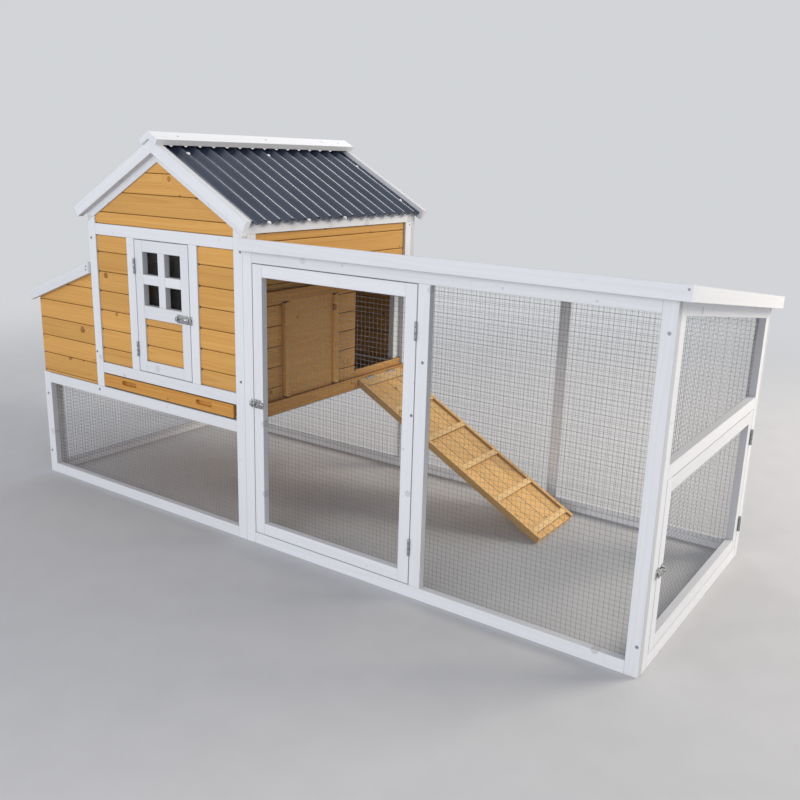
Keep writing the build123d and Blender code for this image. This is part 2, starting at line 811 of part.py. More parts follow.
def roof_frame():
    """Bargeboards at both gables and the ridge beam between the rafters."""
    tip = roof_line(BARGE_TOP_APEX, HOUSE_MIDDLE + BARGE_REACH)
    low_apex = BARGE_TOP_APEX - WIDE / ROOF_COS
    pieces = []
    for side in (-1, 1):
        outline = [
            (HOUSE_MIDDLE, low_apex),
            (HOUSE_MIDDLE, BARGE_TOP_APEX),
            (HOUSE_MIDDLE + side * BARGE_REACH, tip),
            (HOUSE_MIDDLE + side * (BARGE_REACH - WIDE * ROOF_SIN), tip - WIDE * ROOF_COS),
        ]
        pieces.append(prism_along_y(outline, (-THICK, 0)))
        pieces.append(prism_along_y(outline, (DEPTH, DEPTH + THICK)))
    half = THICK / 2
    beam = [
        (HOUSE_MIDDLE - half, RIDGE_BEAM_BOTTOM),
        (HOUSE_MIDDLE + half, RIDGE_BEAM_BOTTOM),
        (HOUSE_MIDDLE + half, roof_line(RAFTER_TOP_APEX, HOUSE_MIDDLE + half)),
        (HOUSE_MIDDLE, RAFTER_TOP_APEX),
        (HOUSE_MIDDLE - half, roof_line(RAFTER_TOP_APEX, HOUSE_MIDDLE - half)),
    ]
    return pieces + [prism_along_y(beam, SIDE)]


def roof_sheets():
    """One corrugated sheet on each slope, between the bargeboards."""
    apex = (HOUSE_MIDDLE, 0, RAFTER_TOP_APEX)
    across = (SHEET_GAP / 4, DEPTH - SHEET_GAP / 4)
    eave = EAVE_REACH / ROOF_COS
    right = Plane(origin=apex, x_dir=(ROOF_COS, 0, -ROOF_SIN), z_dir=(ROOF_SIN, 0, ROOF_COS))
    left = Plane(origin=apex, x_dir=(ROOF_COS, 0, ROOF_SIN), z_dir=(-ROOF_SIN, 0, ROOF_COS))
    return [
        corrugated(left, (-eave, -SHEET_GAP), across, ROOF_WAVES, ROOF_WAVE),
        corrugated(right, (SHEET_GAP, eave), across, ROOF_WAVES, ROOF_WAVE),
    ]


def ridge_cap():
    """Two boards that meet over the ridge and rest on the bargeboards."""
    apex = BARGE_TOP_APEX + RIDGE_BOARD_THICK / ROOF_COS
    outer = RIDGE_BOARD_WIDE * ROOF_COS
    outer_z = apex - RIDGE_BOARD_WIDE * ROOF_SIN
    boards = []
    for side in (-1, 1):
        inset = outer - RIDGE_BOARD_THICK * ROOF_SIN
        outline = [
            (HOUSE_MIDDLE, BARGE_TOP_APEX),
            (HOUSE_MIDDLE, apex),
            (HOUSE_MIDDLE + side * outer, outer_z),
            (HOUSE_MIDDLE + side * inset, outer_z - RIDGE_BOARD_THICK * ROOF_COS),
        ]
        boards.append(prism_along_y(outline, (-RIDGE_OVERHANG, DEPTH + RIDGE_OVERHANG)))
    return boards


# Run


def upright(x, y):
    """A post from the ground to the run's sloping top."""
    outline = [(y[0], 0), (y[1], 0), (y[1], run_line(y[1])), (y[0], run_line(y[0]))]
    return prism_along_x(outline, x)


def run_top_rail(x, y):
    """A rail along the front or back whose upper face follows the run's slope."""
    low = run_line(y[0]) - WIDE
    outline = [(y[0], low), (y[1], low), (y[1], run_line(y[1])), (y[0], run_line(y[0]))]
    return prism_along_x(outline, x)


def run_wall(y):
    """Front or back frame of the run: end stiles, rails and the post between the two bays."""
    left = (HOUSE_RIGHT, HOUSE_RIGHT + WIDE)
    right = (BASE_LENGTH - WIDE, BASE_LENGTH)
    between = (left[1], right[0])
    post = bar((RUN_DOOR_RIGHT, RUN_DOOR_RIGHT + WIDE), y, (WIDE, run_line(y[0]) - WIDE))
    return [
        upright(left, y),
        upright(right, y),
        bar(between, y, (0, WIDE)),
        run_top_rail(between, y),
        post,
    ]


def run_front_mesh():
    """Mesh of the fixed front bay."""
    x = lapped(RUN_DOOR_RIGHT + WIDE, BASE_LENGTH - WIDE)
    return mesh_along_x(x, lapped(WIDE, RUN_TOP - WIDE), FRONT[1], 1)


def run_back_mesh():
    """Mesh over both back bays."""
    x = lapped(HOUSE_RIGHT + WIDE, BASE_LENGTH - WIDE)
    return mesh_along_x(x, lapped(WIDE, run_line(BACK[0]) - WIDE), BACK[0], -1)


def run_end_frame():
    """Frame of the run's far end: stiles, bottom rail, rail above the low door, sloping top rail."""
    x = (BASE_LENGTH - THICK, BASE_LENGTH)
    drop = -WIDE / RUN_COS
    top = [
        (BAY[0], run_line(BAY[0], drop)),
        (BAY[1], run_line(BAY[1], drop)),
        (BAY[1], run_line(BAY[1])),
        (BAY[0], run_line(BAY[0])),
    ]
    return [
        upright(x, (SIDE[0], BAY[0])),
        upright(x, (BAY[1], SIDE[1])),
        bar(x, BAY, (0, WIDE)),
        bar(x, BAY, (END_MID_RAIL, END_MID_RAIL + WIDE)),
        prism_along_x(top, x),
    ]


def run_end_mesh():
    """Mesh of the fixed upper bay of the run's end."""
    x = BASE_LENGTH - THICK
    y = lapped(*BAY)
    low = END_MID_RAIL + WIDE - MESH_LAP
    drop = MESH_LAP - WIDE / RUN_COS
    heights = [run_line(side, drop) - low for side in y]
    return mesh((x, y[0], low), (x, y[1], low), heights, (-1, 0, 0))


def run_roof_purlins():
    """Sloped end battens on the run walls and three purlins between them."""
    depth = (0, DEPTH)
    slope = [(y, run_line(y)) for y in depth] + [(y, run_line(y, PURLIN_TALL)) for y in reversed(depth)]
    inner = (HOUSE_RIGHT + LEDGER_WIDE, FASCIA_LEFT - THICK)
    battens = [
        prism_along_x(slope, (HOUSE_RIGHT, inner[0])),
        prism_along_x(slope, (inner[1], FASCIA_LEFT)),
    ]
    purlins = []
    for near in (0, (DEPTH - THICK) / 2, DEPTH - THICK):
        far = near + THICK
        outline = [
            (near, run_line(near)),
            (far, run_line(far)),
            (far, run_line(far, PURLIN_TALL)),
            (near, run_line(near, PURLIN_TALL)),
        ]
        purlins.append(prism_along_x(outline, inner))
    return battens + purlins


def run_roof_sheet():
    """Corrugated run roof that drains to the back, hidden behind the fascia boards."""
    slope_sin = RUN_SLOPE * RUN_COS
    place = Plane(
        origin=(0, 0, run_line(0, PURLIN_TALL)),
        x_dir=(0, RUN_COS, -slope_sin),
        z_dir=(0, slope_sin, RUN_COS),
    )
    across = (-FASCIA_LEFT + SHEET_GAP / 2, -HOUSE_RIGHT - SHEET_GAP / 2)
    along = (SHEET_GAP / 2, RUN_SHEET_BACK / RUN_COS)
    return [corrugated(place, along, across, RUN_ROOF_WAVES, RUN_ROOF_WAVE)]


def run_fascia():
    """Front fascia board, bevelled to the roof slope, and the end board that butts against its back."""
    boards = []
    for ends, x in (((-THICK, 0), (HOUSE_RIGHT, RUN_RIGHT)), ((0, DEPTH), (FASCIA_LEFT, RUN_RIGHT))):
        outline = [(y, run_line(y, -FASCIA_DROP)) for y in ends]
        outline += [(y, run_line(y, FASCIA_RISE)) for y in reversed(ends)]
        boards.append(prism_along_x(outline, x))
    return boards


# Doors of the run


def run_door_limits():
    """Limits of the tall run door along the front and in height."""
    x = (RUN_DOOR_LEFT + DOOR_GAP, RUN_DOOR_RIGHT - DOOR_GAP)
    return x, (WIDE + DOOR_GAP, RUN_TOP - WIDE - DOOR_GAP)


def run_door_frame():
    """Four timbers of the tall run door."""
    return frame_along_x(*run_door_limits(), FRONT)


def run_door_mesh():
    """Mesh on the inner face of the tall run door."""
    x, z = run_door_limits()
    return mesh_along_x(lapped(x[0] + WIDE, x[1] - WIDE), lapped(z[0] + WIDE, z[1] - WIDE), FRONT[1], 1)


def end_door_limits():
    """Limits of the low end door in depth and in height."""
    y = (BAY[0] + DOOR_GAP, BAY[1] - DOOR_GAP)
    return y, (WIDE + DOOR_GAP, END_MID_RAIL - DOOR_GAP)


def end_door_frame():
    """Four timbers of the low end door."""
    return frame_along_y(*end_door_limits(), (BASE_LENGTH - THICK, BASE_LENGTH))


def end_door_mesh():
    """Mesh on the inner face of the low end door."""
    y, z = end_door_limits()
    bay_y = lapped(y[0] + WIDE, y[1] - WIDE)
    bay_z = lapped(z[0] + WIDE, z[1] - WIDE)
    return mesh_along_y(bay_y, bay_z, BASE_LENGTH - THICK, -1)


# Ramp


def ramp_axis_x():
    """Distance of the ramp's hinge axis along the front."""
    return HOUSE_RIGHT + SILL_THICK + FACE_LEAF[1]


def ramp_slope():
    """Angle of the resting ramp below the level, and its length from the hinge axis to the foot."""
    foot_x = RAMP_FOOT - ramp_axis_x()
    under = RAMP_CLEAT_THICK + RAMP_PLANK_THICK - RAMP_AXIS_DEPTH
    reach = math.hypot(foot_x, RAMP_AXIS_HEIGHT)
    slope = math.atan2(RAMP_AXIS_HEIGHT, foot_x) - math.asin(under / reach)
    return slope, math.sqrt(reach**2 - under**2)


def ramp_boards():
    """Planks with a top board, side rails and cleats on them, mortised for the hinges at the top.

    The pieces are drawn in the ramp's own plane: x down the slope from the hinge axis, z square to it.
    """
    slope, length = ramp_slope()
    slope_sin = math.sin(slope)
    slope_cos = math.cos(slope)
    axis_x = ramp_axis_x()
    place = Plane(
        origin=(axis_x, 0, RAMP_AXIS_HEIGHT),
        x_dir=(slope_cos, 0, -slope_sin),
        z_dir=(slope_sin, 0, slope_cos),
    )
    top = RAMP_AXIS_DEPTH
    deck = top - RAMP_CLEAT_THICK
    under = deck - RAMP_PLANK_THICK
    end = RAMP_END_GAP - FACE_LEAF[1]

    def board(y, low, high, stop):
        """A board from the ramp's plumb-cut upper end to a square-cut lower end."""
        low_start, high_start = [(end - level * slope_sin) / slope_cos for level in (low, high)]
        return prism_along_y([(low_start, low), (stop, low), (stop, high), (high_start, high)], y)

    inside = (RAMP_NEAR + RAMP_RAIL_WIDE, RAMP_FAR - RAMP_RAIL_WIDE)
    pieces = [board(inside, deck, top, RAMP_TOP_BOARD)]
    plank = (RAMP_FAR - RAMP_NEAR - RAMP_PLANK_GAP * (RAMP_PLANKS - 1)) / RAMP_PLANKS
    for index in range(RAMP_PLANKS):
        near = RAMP_NEAR + index * (plank + RAMP_PLANK_GAP)
        pieces.append(board((near, near + plank), under, deck, length))
    for near in (RAMP_NEAR, RAMP_FAR - RAMP_RAIL_WIDE):
        pieces.append(board((near, near + RAMP_RAIL_WIDE), deck, top, length))
    for index in range(RAMP_CLEATS):
        start = RAMP_FIRST_CLEAT + index * RAMP_CLEAT_PITCH
        pieces.append(bar((start, start + RAMP_CLEAT_WIDE), inside, (deck, top)))
    half = LEAF_LONG / 2 + RAMP_MORTISE_ROOM
    mortise_x = (axis_x - FACE_LEAF[1], axis_x + FACE_LEAF[1])
    mortises = [bar(mortise_x, (y - half, y + half), (SILL_BOTTOM, SILL_TOP)) for y in RAMP_HINGES]
    return [place * piece - mortises for piece in pieces]


# Hinges


def rod(radius, span):
    """An eight-sided rod along the local z, between two heights."""
    return Pos(0, 0, span[0]) * extrude(RegularPolygon(radius, HINGE_SIDES), span[1] - span[0])


def leaf(place, side, spans, layer):
    """A hinge leaf: the pin is the local z axis and the plate lies along the local x, on one side of it."""
    low, high = sorted((side * layer[0], side * layer[1]))
    half = LEAF_LONG / 2
    if layer == GAP_LEAF:
        start = AXIS_PROUD
        neck_x = (KNUCKLE_WALL, start)
        neck_y = (low, high)
    else:
        start = 0.0
        neck_x = (0.0, PIN_R)
        neck_y = sorted((side * KNUCKLE_WALL, side * layer[0]))
    body = bar((start, LEAF_REACH), (low, high), (-half, half))
    for span in spans:
        body += bar(neck_x, neck_y, span) + rod(KNUCKLE_R, span)
        body -= rod(BORE_R, span)
    return place * body


def hinge(origin, axis, fixed, moving, layer):
    """A butt hinge: fixed leaf with two knuckles, moving leaf with one, and the pin.

    fixed and moving each hold the direction of the plate and the side of it that meets the timber.
    """
    half = LEAF_LONG / 2
    third = LEAF_LONG / 6
    gap = KNUCKLE_GAP / 2
    outer = [(-half, -third - gap), (third + gap, half)]
    inner = [(-third + gap, third - gap)]
    places = [Plane(origin=origin, x_dir=leaf_dir, z_dir=axis) for leaf_dir, side in (fixed, moving)]
    pin = places[0] * rod(PIN_R, (-half - PIN_PROUD, half + PIN_PROUD))
    return (
        leaf(places[0], fixed[1], outer, layer),
        leaf(places[1], moving[1], inner, layer),
        pin,
    )


def house_door_hinges():
    """Hinges in the gap at the left edge of the house door."""
    x = JAMB_LEFT + DOOR_GAP / 2
    return [
        hinge((x, -AXIS_PROUD, z), (0, 0, 1), ((0, 1, 0), 1), ((0, 1, 0), -1), GAP_LEAF)
        for z in HOUSE_HINGES
    ]


def run_door_hinges():
    """Hinges in the gap at the right edge of the tall run door."""
    x = RUN_DOOR_RIGHT - DOOR_GAP / 2
    return [
        hinge((x, -AXIS_PROUD, z), (0, 0, 1), ((0, 1, 0), -1), ((0, 1, 0), 1), GAP_LEAF)
        for z in RUN_HINGES
    ]


def end_door_hinges():
    """Hinges in the gap at the far edge of the low end door."""
    origin = (BASE_LENGTH + AXIS_PROUD, BAY[1] - DOOR_GAP / 2)
    return [
        hinge((*origin, z), (0, 0, 1), ((-1, 0, 0), -1), ((-1, 0, 0), 1), GAP_LEAF) for z in END_HINGES
    ]


def lid_hinges():
    """Hinges between the left wall's header and the lid's hinge rail."""
    z = lid_line(LID_AXIS_X, -FACE_LEAF[1])
    down = (-LID_COS, 0, -LID_SIN)
    return [
        hinge((LID_AXIS_X, y, z), (0, 1, 0), ((0, 0, 1), 1), (down, -1), FACE_LEAF) for y in LID_HINGES
    ]


def ramp_hinges():
    """Hinges that hang between the sill strip and the mortises in the ramp's upper end."""
    down = (0, 0, -1)
    return [
        hinge((ramp_axis_x(), y, RAMP_AXIS_HEIGHT), (0, 1, 0), (down, 1), (down, -1), FACE_LEAF)
        for y in RAMP_HINGES
    ]


# Sliding bolts


def staple(span, room):
    """A bridge over the flat bolt, with the given room round it."""
    block = bar(span, (-STAPLE_HALF, STAPLE_HALF), (0, STAPLE_TALL))
    way = bar(span, (-BOLT_HALF - room, BOLT_HALF + room), (BOLT_LOW - room, BOLT_HIGH + room))
    return block - way


def sliding_bolt(place, plate):
    """A flat bolt drawn back in two staples on a plate, and the keeper it slides into.

    The bolt slides along the local x and the local z stands out from the door.
    """
    body = bar((-plate, 0), (-PLATE_HALF, PLATE_HALF), (0, PLATE_THICK))
    for start in (-plate, -STAPLE_LONG):
        body += staple((start, start + STAPLE_LONG), BOLT_ROOM)
    bolt = bar((-plate - BOLT_TAIL, BOLT_TIP), (-BOLT_HALF, BOLT_HALF), (BOLT_LOW, BOLT_HIGH))
    knob_z = (BOLT_HIGH + KNOB_TALL) / 2
    bolt += Pos(-KNOB_START, 0, knob_z) * Cylinder(KNOB_R, KNOB_TALL - BOLT_HIGH)
    hold = (KEEPER_START, KEEPER_END)
    keeper = bar(hold, (-PLATE_HALF, PLATE_HALF), (0, PLATE_THICK)) + staple(hold, KEEPER_ROOM)
    return place * body, place * bolt, place * keeper


def bolts():
    """The bolts of the house door, the run door and the end door, in that order."""
    house_x = JAMB_RIGHT - DOOR_GAP - BOLT_EDGE_GAP
    run_x = RUN_DOOR_LEFT + DOOR_GAP + BOLT_EDGE_GAP
    end_y = BAY[0] + DOOR_GAP + BOLT_EDGE_GAP
    outward = (0, -1, 0)
    house = Plane(origin=(house_x, 0, BOLT_HEIGHT_HOUSE), x_dir=(1, 0, 0), z_dir=outward)
    run = Plane(origin=(run_x, 0, BOLT_HEIGHT_RUN), x_dir=(-1, 0, 0), z_dir=outward)
    end = Plane(origin=(BASE_LENGTH, end_y, BOLT_HEIGHT_END), x_dir=(0, -1, 0), z_dir=(1, 0, 0))
    return [
        sliding_bolt(house, HOUSE_BOLT_PLATE),
        sliding_bolt(run, RUN_BOLT_PLATE),
        sliding_bolt(end, RUN_BOLT_PLATE),
    ]


# Nodes

hinge_sets = {
    "house_door": house_door_hinges(),
    "run_door": run_door_hinges(),
    "end_door": end_door_hinges(),
    "nest_lid": lid_hinges(),
    "ramp": ramp_hinges(),
}
all_hinges = [one for hinges in hinge_sets.values() for one in hinges]
house_bolt, run_bolt, end_bolt = bolts()

nodes = {
    "base_front_frame": base_wall(FRONT),
    "base_front_mesh": base_mesh(FRONT[1], 1),
    "base_left_frame": frame_along_y(SIDE, (0, BASE_TOP), (0, THICK)),
    "base_left_mesh": base_left_mesh(),
    "base_back_frame": base_wall(BACK),
    "base_back_mesh": base_mesh(BACK[0], -1),
    "floor_joists": floor_joists(),
    "house_front_frame": house_front_frame(),
    "house_front_siding": house_front_siding(),
    "house_back_frame": house_back_frame(),
    "house_back_siding": house_back_siding(),
    "house_left_frame": house_left_frame(),
    "house_left_siding": house_left_siding(),
    "house_right_frame": house_right_frame(),
    "house_right_siding": house_right_siding(),
    "pop_door_guides": pop_door_guides(),
    "pop_door": pop_door(),
    "perch": perch(),
    "perch_brackets": perch_brackets(),
    "house_door_frame": house_door_frame(),
    "house_door_boards": house_door_boards(),
    "house_door_window": house_door_window(),
    "tray_front": tray_front(),
    "tray_pan": tray_pan(),
    "nest_box_siding": nest_box_siding(),
    "nest_box_floor": nest_box_floor(),
    "nest_dividers": nest_dividers(),
    "nest_lid_boards": nest_lid_boards(),
    "nest_lid_sheet": nest_lid_sheet(),
    "roof_frame": roof_frame(),
    "roof_sheets": roof_sheets(),
    "ridge_cap": ridge_cap(),
    "run_front_frame": run_wall(FRONT),
    "run_front_mesh": run_front_mesh(),
    "run_back_frame": run_wall(BACK),
    "run_back_mesh": run_back_mesh(),
    "run_end_frame": run_end_frame(),
    "run_end_mesh": run_end_mesh(),
    "run_roof_purlins": run_roof_purlins(),
    "run_roof_sheet": run_roof_sheet(),
    "run_fascia": run_fascia(),
    "run_door_frame": run_door_frame(),
    "run_door_mesh": run_door_mesh(),
    "end_door_frame": end_door_frame(),
    "end_door_mesh": end_door_mesh(),
    "ramp_boards": ramp_boards(),
    "fixed_hinge_leaves": [one[0] for one in all_hinges],
    "hinge_pins": [one[2] for one in all_hinges],
    "house_door_latch": [house_bolt[0]],
    "house_door_bolt": [house_bolt[1]],
    "run_door_latch": [run_bolt[0]],
    "run_door_bolt": [run_bolt[1]],
    "end_door_latch": [end_bolt[0]],
    "end_door_bolt": [end_bolt[1]],
    "bolt_keepers": [house_bolt[2], run_bolt[2], end_bolt[2]],
}
for name, hinges in hinge_sets.items():
    nodes[name + "_hinge_leaves"] = [one[1] for one in hinges]

to_middle = Pos(-CENTRE[0], -CENTRE[1], 0)
for name, pieces in nodes.items():
    solids = [to_middle * solid for piece in pieces for solid in piece.solids()]
    export_step(Compound(children=solids), os.path.join("parts", name + ".step"))
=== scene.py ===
# %% [markdown]
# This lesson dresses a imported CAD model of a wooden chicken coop: a boarded house with a nest box, and a
# wire run beside it. The CAD holds every piece at its real size and place, so it is loaded first and
# never moved. Everything below works in metres, in the CAD's own frame.

import json
import math
import random

import bmesh
import bpy
from mathutils import Matrix, Vector


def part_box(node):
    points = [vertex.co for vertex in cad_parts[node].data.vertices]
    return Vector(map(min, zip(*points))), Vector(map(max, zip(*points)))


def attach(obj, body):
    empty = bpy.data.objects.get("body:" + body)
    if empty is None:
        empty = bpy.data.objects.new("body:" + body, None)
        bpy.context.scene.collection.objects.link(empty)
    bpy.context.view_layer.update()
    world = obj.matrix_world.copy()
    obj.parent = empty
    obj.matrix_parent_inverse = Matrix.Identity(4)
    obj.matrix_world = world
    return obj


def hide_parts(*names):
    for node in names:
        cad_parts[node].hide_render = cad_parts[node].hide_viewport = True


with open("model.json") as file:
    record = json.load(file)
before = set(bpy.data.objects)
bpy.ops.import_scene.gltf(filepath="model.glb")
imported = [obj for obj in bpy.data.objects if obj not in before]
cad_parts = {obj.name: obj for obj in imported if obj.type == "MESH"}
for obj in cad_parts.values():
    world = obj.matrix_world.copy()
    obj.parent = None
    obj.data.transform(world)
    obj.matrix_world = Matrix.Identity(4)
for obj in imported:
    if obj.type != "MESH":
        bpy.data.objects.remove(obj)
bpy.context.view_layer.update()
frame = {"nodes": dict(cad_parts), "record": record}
BODY_OF = {node: body for body, nodes in frame["record"]["behaviour"]["bodies"].items() for node in nodes}
SLOT_OF = {entry["node"]: entry["material_slot"] for entry in frame["record"]["subparts"]}
MM = 0.001


def slot_nodes(slot):
    """The CAD nodes of one material slot."""
    return [node for node, given in SLOT_OF.items() if given == slot]


# %% [markdown]
# The camera stands where the photograph was taken from: off the right front corner of the run, a little
# over a metre above the ground. Its place and its three angles were fitted to the corners of the coop in
# the photograph. Blender's lens is given in millimetres on a 36 mm sensor.

# %% Camera
IMAGE_SIZE = 800
FOCAL_PIXELS = 887.5
SENSOR_WIDTH = 36.0
CLIP_END = 200.0
CAMERA_PLACE = Vector((1.6509, -2.2214, 1.1373))
CAMERA_YAW = math.radians(-34.351)
CAMERA_PITCH = math.radians(-15.414)
CAMERA_ROLL = math.radians(1.686)


def camera_axes():
    """The camera's right, up and backward directions."""
    level = math.cos(CAMERA_PITCH)
    forward = Vector((math.sin(CAMERA_YAW) * level, math.cos(CAMERA_YAW) * level, math.sin(CAMERA_PITCH)))
    right = Vector((math.cos(CAMERA_YAW), -math.sin(CAMERA_YAW), 0))
    up = right.cross(forward)
    rolled_right = math.cos(CAMERA_ROLL) * right + math.sin(CAMERA_ROLL) * up
    rolled_up = math.cos(CAMERA_ROLL) * up - math.sin(CAMERA_ROLL) * right
    return rolled_right, rolled_up, -forward


def add_object(name, data):
    """A camera, a lamp or a mesh as an object of the scene, at the origin."""
    made = bpy.data.objects.new(name, data)
    bpy.context.scene.collection.objects.link(made)
    return made


lens = bpy.data.cameras.new("camera")
lens.sensor_width = SENSOR_WIDTH
lens.lens = SENSOR_WIDTH * FOCAL_PIXELS / IMAGE_SIZE
lens.clip_end = CLIP_END
camera = add_object("camera", lens)
camera.matrix_world = Matrix.Translation(CAMERA_PLACE) @ Matrix(camera_axes()).transposed().to_4x4()
bpy.context.scene.camera = camera
print("lens", round(lens.lens, 2), "mm")

# %% [markdown]
# Shader and geometry trees are both built from nodes, so one small helper adds a node, sets its
# properties, and fills its inputs. An input given as a socket becomes a link. The helpers for arithmetic
# rest on it, and they serve both kinds of tree.

# %% Helpers for nodes


def add(tree, kind, inputs=None, **settings):
    """Adds a node to a tree; inputs are keyed by name or by index."""
    made = tree.nodes.new(kind)
    for name, value in settings.items():
        setattr(made, name, value)
    for key, value in (inputs or {}).items():
        if isinstance(value, bpy.types.NodeSocket):
            tree.links.new(value, made.inputs[key])
        else:
            made.inputs[key].default_value = value
    return made


def math_node(tree, operation, first, second=0.0):
    """One step of arithmetic."""
    return add(tree, "ShaderNodeMath", {0: first, 1: second}, operation=operation).outputs[0]


def vector_node(tree, operation, first, second=(0.0, 0.0, 0.0), third=(0.0, 0.0, 0.0)):
    """One step of vector arithmetic."""
    inputs = {0: first, 1: second, 2: third}
    made = add(tree, "ShaderNodeVectorMath", inputs, operation=operation)
    return made.outputs["Value"] if operation == "LENGTH" else made.outputs[0]


def stretch(tree, vector, factors):
    """A vector with each of its parts scaled."""
    return vector_node(tree, "MULTIPLY", vector, factors)


def combine(tree, x=0.0, y=0.0, z=0.0):
    """A vector from its parts."""
    return add(tree, "ShaderNodeCombineXYZ", {0: x, 1: y, 2: z}).outputs[0]


def separate(tree, vector):
    """The three parts of a vector."""
    return add(tree, "ShaderNodeSeparateXYZ", {0: vector}).outputs


# %% [markdown]
# A finish is a shader tree, and most of its patterns come from smooth noise. The noise is read in the
# coordinates of a piece's object: every piece sits unturned at the origin, so a pattern has its real
# size, and it stays on the piece when that moves. Colours are written as screen values and turned into
# linear ones, because shaders count light.

# %% Helpers for finishes


def object_place(tree):
    """The point on a piece in its object's coordinates, which are the frame's own."""
    return add(tree, "ShaderNodeTexCoord").outputs["Object"]


def noise(tree, vector, scales, detail):
    """Smooth noise between 0 and 1, with its own scale along each axis."""
    inputs = {"Vector": stretch(tree, vector, scales), "Scale": 1.0, "Detail": detail}
    return add(tree, "ShaderNodeTexNoise", inputs).outputs[0]


# Most of a noise's values lie in this span.
NOISE_SPAN = (0.3, 0.7)


def ease(tree, value, start, end, low=0.0, high=1.0):
    """A smooth step of a value from one range to another."""
    inputs = {"Value": value, "From Min": start, "From Max": end, "To Min": low, "To Max": high}
    return add(tree, "ShaderNodeMapRange", inputs, interpolation_type="SMOOTHSTEP").outputs[0]


def mix(tree, factor, first, second):
    """Two colours mixed by a factor; a colour mix has its own sockets on the node."""
    return add(tree, "ShaderNodeMix", {0: factor, 6: first, 7: second}, data_type="RGBA").outputs[2]


def new_material(name):
    """An empty material: its tree and its surface shader."""
    material = bpy.data.materials.new(name)
    material.use_nodes = True
    tree = material.node_tree
    return material, tree, tree.nodes["Principled BSDF"]


def colour(red, green, blue):
    """A colour given as 0 to 255 screen values, turned into the linear values that shaders use."""
    linear = []
    for value in (red, green, blue):
        share = value / 255
        linear.append(share / 12.92 if share <= 0.04045 else ((share + 0.055) / 1.055) ** 2.4)
    return (*linear, 1.0)


print("screen value 128 is", round(colour(128, 128, 128)[0], 3), "in linear light")

# %% [markdown]
# The floor is a plain pale grey disc that melts into a paler background: near the coop it takes light
# and shadow like any floor, and further out it glows evenly for the eye of the camera only, so it adds
# no light to the coop. White timber needs a background a little darker than itself.

# %% Floor
FLOOR_RADIUS = 60.0
FLOOR_SIDES = 96
FLOOR_GRAIN = (9.0, 9.0, 9.0)
FLOOR_ROUGHNESS = 0.9
FADE_START = 1.9
FADE_END = 4.6
FLOOR_COLOUR = colour(192, 192, 193)
FLOOR_SPECK = colour(189, 189, 190)
BACKDROP_COLOUR = colour(210, 212, 215)


def seen_rays(tree):
    """One for rays that the camera sees directly, in gloss or through glass, and nought for light."""
    path = add(tree, "ShaderNodeLightPath")
    seen = math_node(tree, "MAXIMUM", path.outputs["Is Camera Ray"], path.outputs["Is Glossy Ray"])
    return math_node(tree, "MAXIMUM", seen, path.outputs["Is Transmission Ray"])


def floor_material():
    """Pale matte floor that turns into the backdrop with distance."""
    material, tree, shader = new_material("pale floor")
    place = object_place(tree)
    reach = vector_node(tree, "LENGTH", place)
    grain = noise(tree, place, FLOOR_GRAIN, detail=6.0)
    tint = mix(tree, ease(tree, grain, *NOISE_SPAN), FLOOR_COLOUR, FLOOR_SPECK)
    tree.links.new(tint, shader.inputs["Base Color"])
    shader.inputs["Roughness"].default_value = FLOOR_ROUGHNESS
    glow = add(tree, "ShaderNodeEmission", {"Color": BACKDROP_COLOUR, "Strength": 1.0})
    fade = math_node(tree, "MULTIPLY", ease(tree, reach, FADE_START, FADE_END), seen_rays(tree))
    blend = add(tree, "ShaderNodeMixShader", {0: fade, 1: shader.outputs[0], 2: glow.outputs[0]})
    tree.links.new(blend.outputs[0], tree.nodes["Material Output"].inputs["Surface"])
    return material


def floor_disc():
    """A round floor at ground level."""
    shape = bmesh.new()
    bmesh.ops.create_circle(shape, cap_ends=True, segments=FLOOR_SIDES, radius=FLOOR_RADIUS)
    mesh = bpy.data.meshes.new("floor")
    shape.to_mesh(mesh)
    shape.free()
    mesh.materials.append(floor_material())
    return add_object("floor", mesh)


floor_disc()
print("floor radius", FLOOR_RADIUS, "m")

# %% [markdown]
# The world is the soft sky light all round the coop. As with the floor, what the camera sees of it is
# the plain backdrop instead, in gloss and through the pane too. The Standard view then shows a colour
# about as it is written.

# %% World
SKY_COLOUR = colour(236, 239, 247)
SKY_STRENGTH = 0.765


def pale_world():
    """Soft sky light that looks plain and pale behind the coop."""
    world = bpy.data.worlds.new("studio")
    world.use_nodes = True
    tree = world.node_tree
    background = tree.nodes["Background"]
    backdrop = add(tree, "ShaderNodeBackground", {"Color": BACKDROP_COLOUR, "Strength": 1.0})
    background.inputs["Color"].default_value = SKY_COLOUR
    background.inputs["Strength"].default_value = SKY_STRENGTH
    blend = add(
        tree, "ShaderNodeMixShader", {0: seen_rays(tree), 1: background.outputs[0], 2: backdrop.outputs[0]}
    )
    tree.links.new(blend.outputs[0], tree.nodes["World Output"].inputs["Surface"])
    return world


bpy.context.scene.world = pale_world()
bpy.context.scene.view_settings.view_transform = "Standard"
print("sky strength", SKY_STRENGTH)

# %% [markdown]
# In the photograph the light is soft daylight from high on the right, a little behind the coop: the right
# end is warm and bright, the front is in cooler, even light. One large warm lamp stands for that sun, a
# weak cool one fills the front, and a third stands where the roof mirrors it, for the bright lines along
# the crests of the sheet.

# %% Lamps


def lamp(name, place, target, size, power, tint):
    """A square area lamp aimed at a point."""
    light = bpy.data.lights.new(name, "AREA")
    light.size = size
    light.energy = power
    light.color = tint
    made = add_object(name, light)
    aim = (Vector(target) - Vector(place)).to_track_quat("-Z", "Y")
    made.matrix_world = Matrix.Translation(place) @ aim.to_matrix().to_4x4()
    made.visible_camera = False
    return made


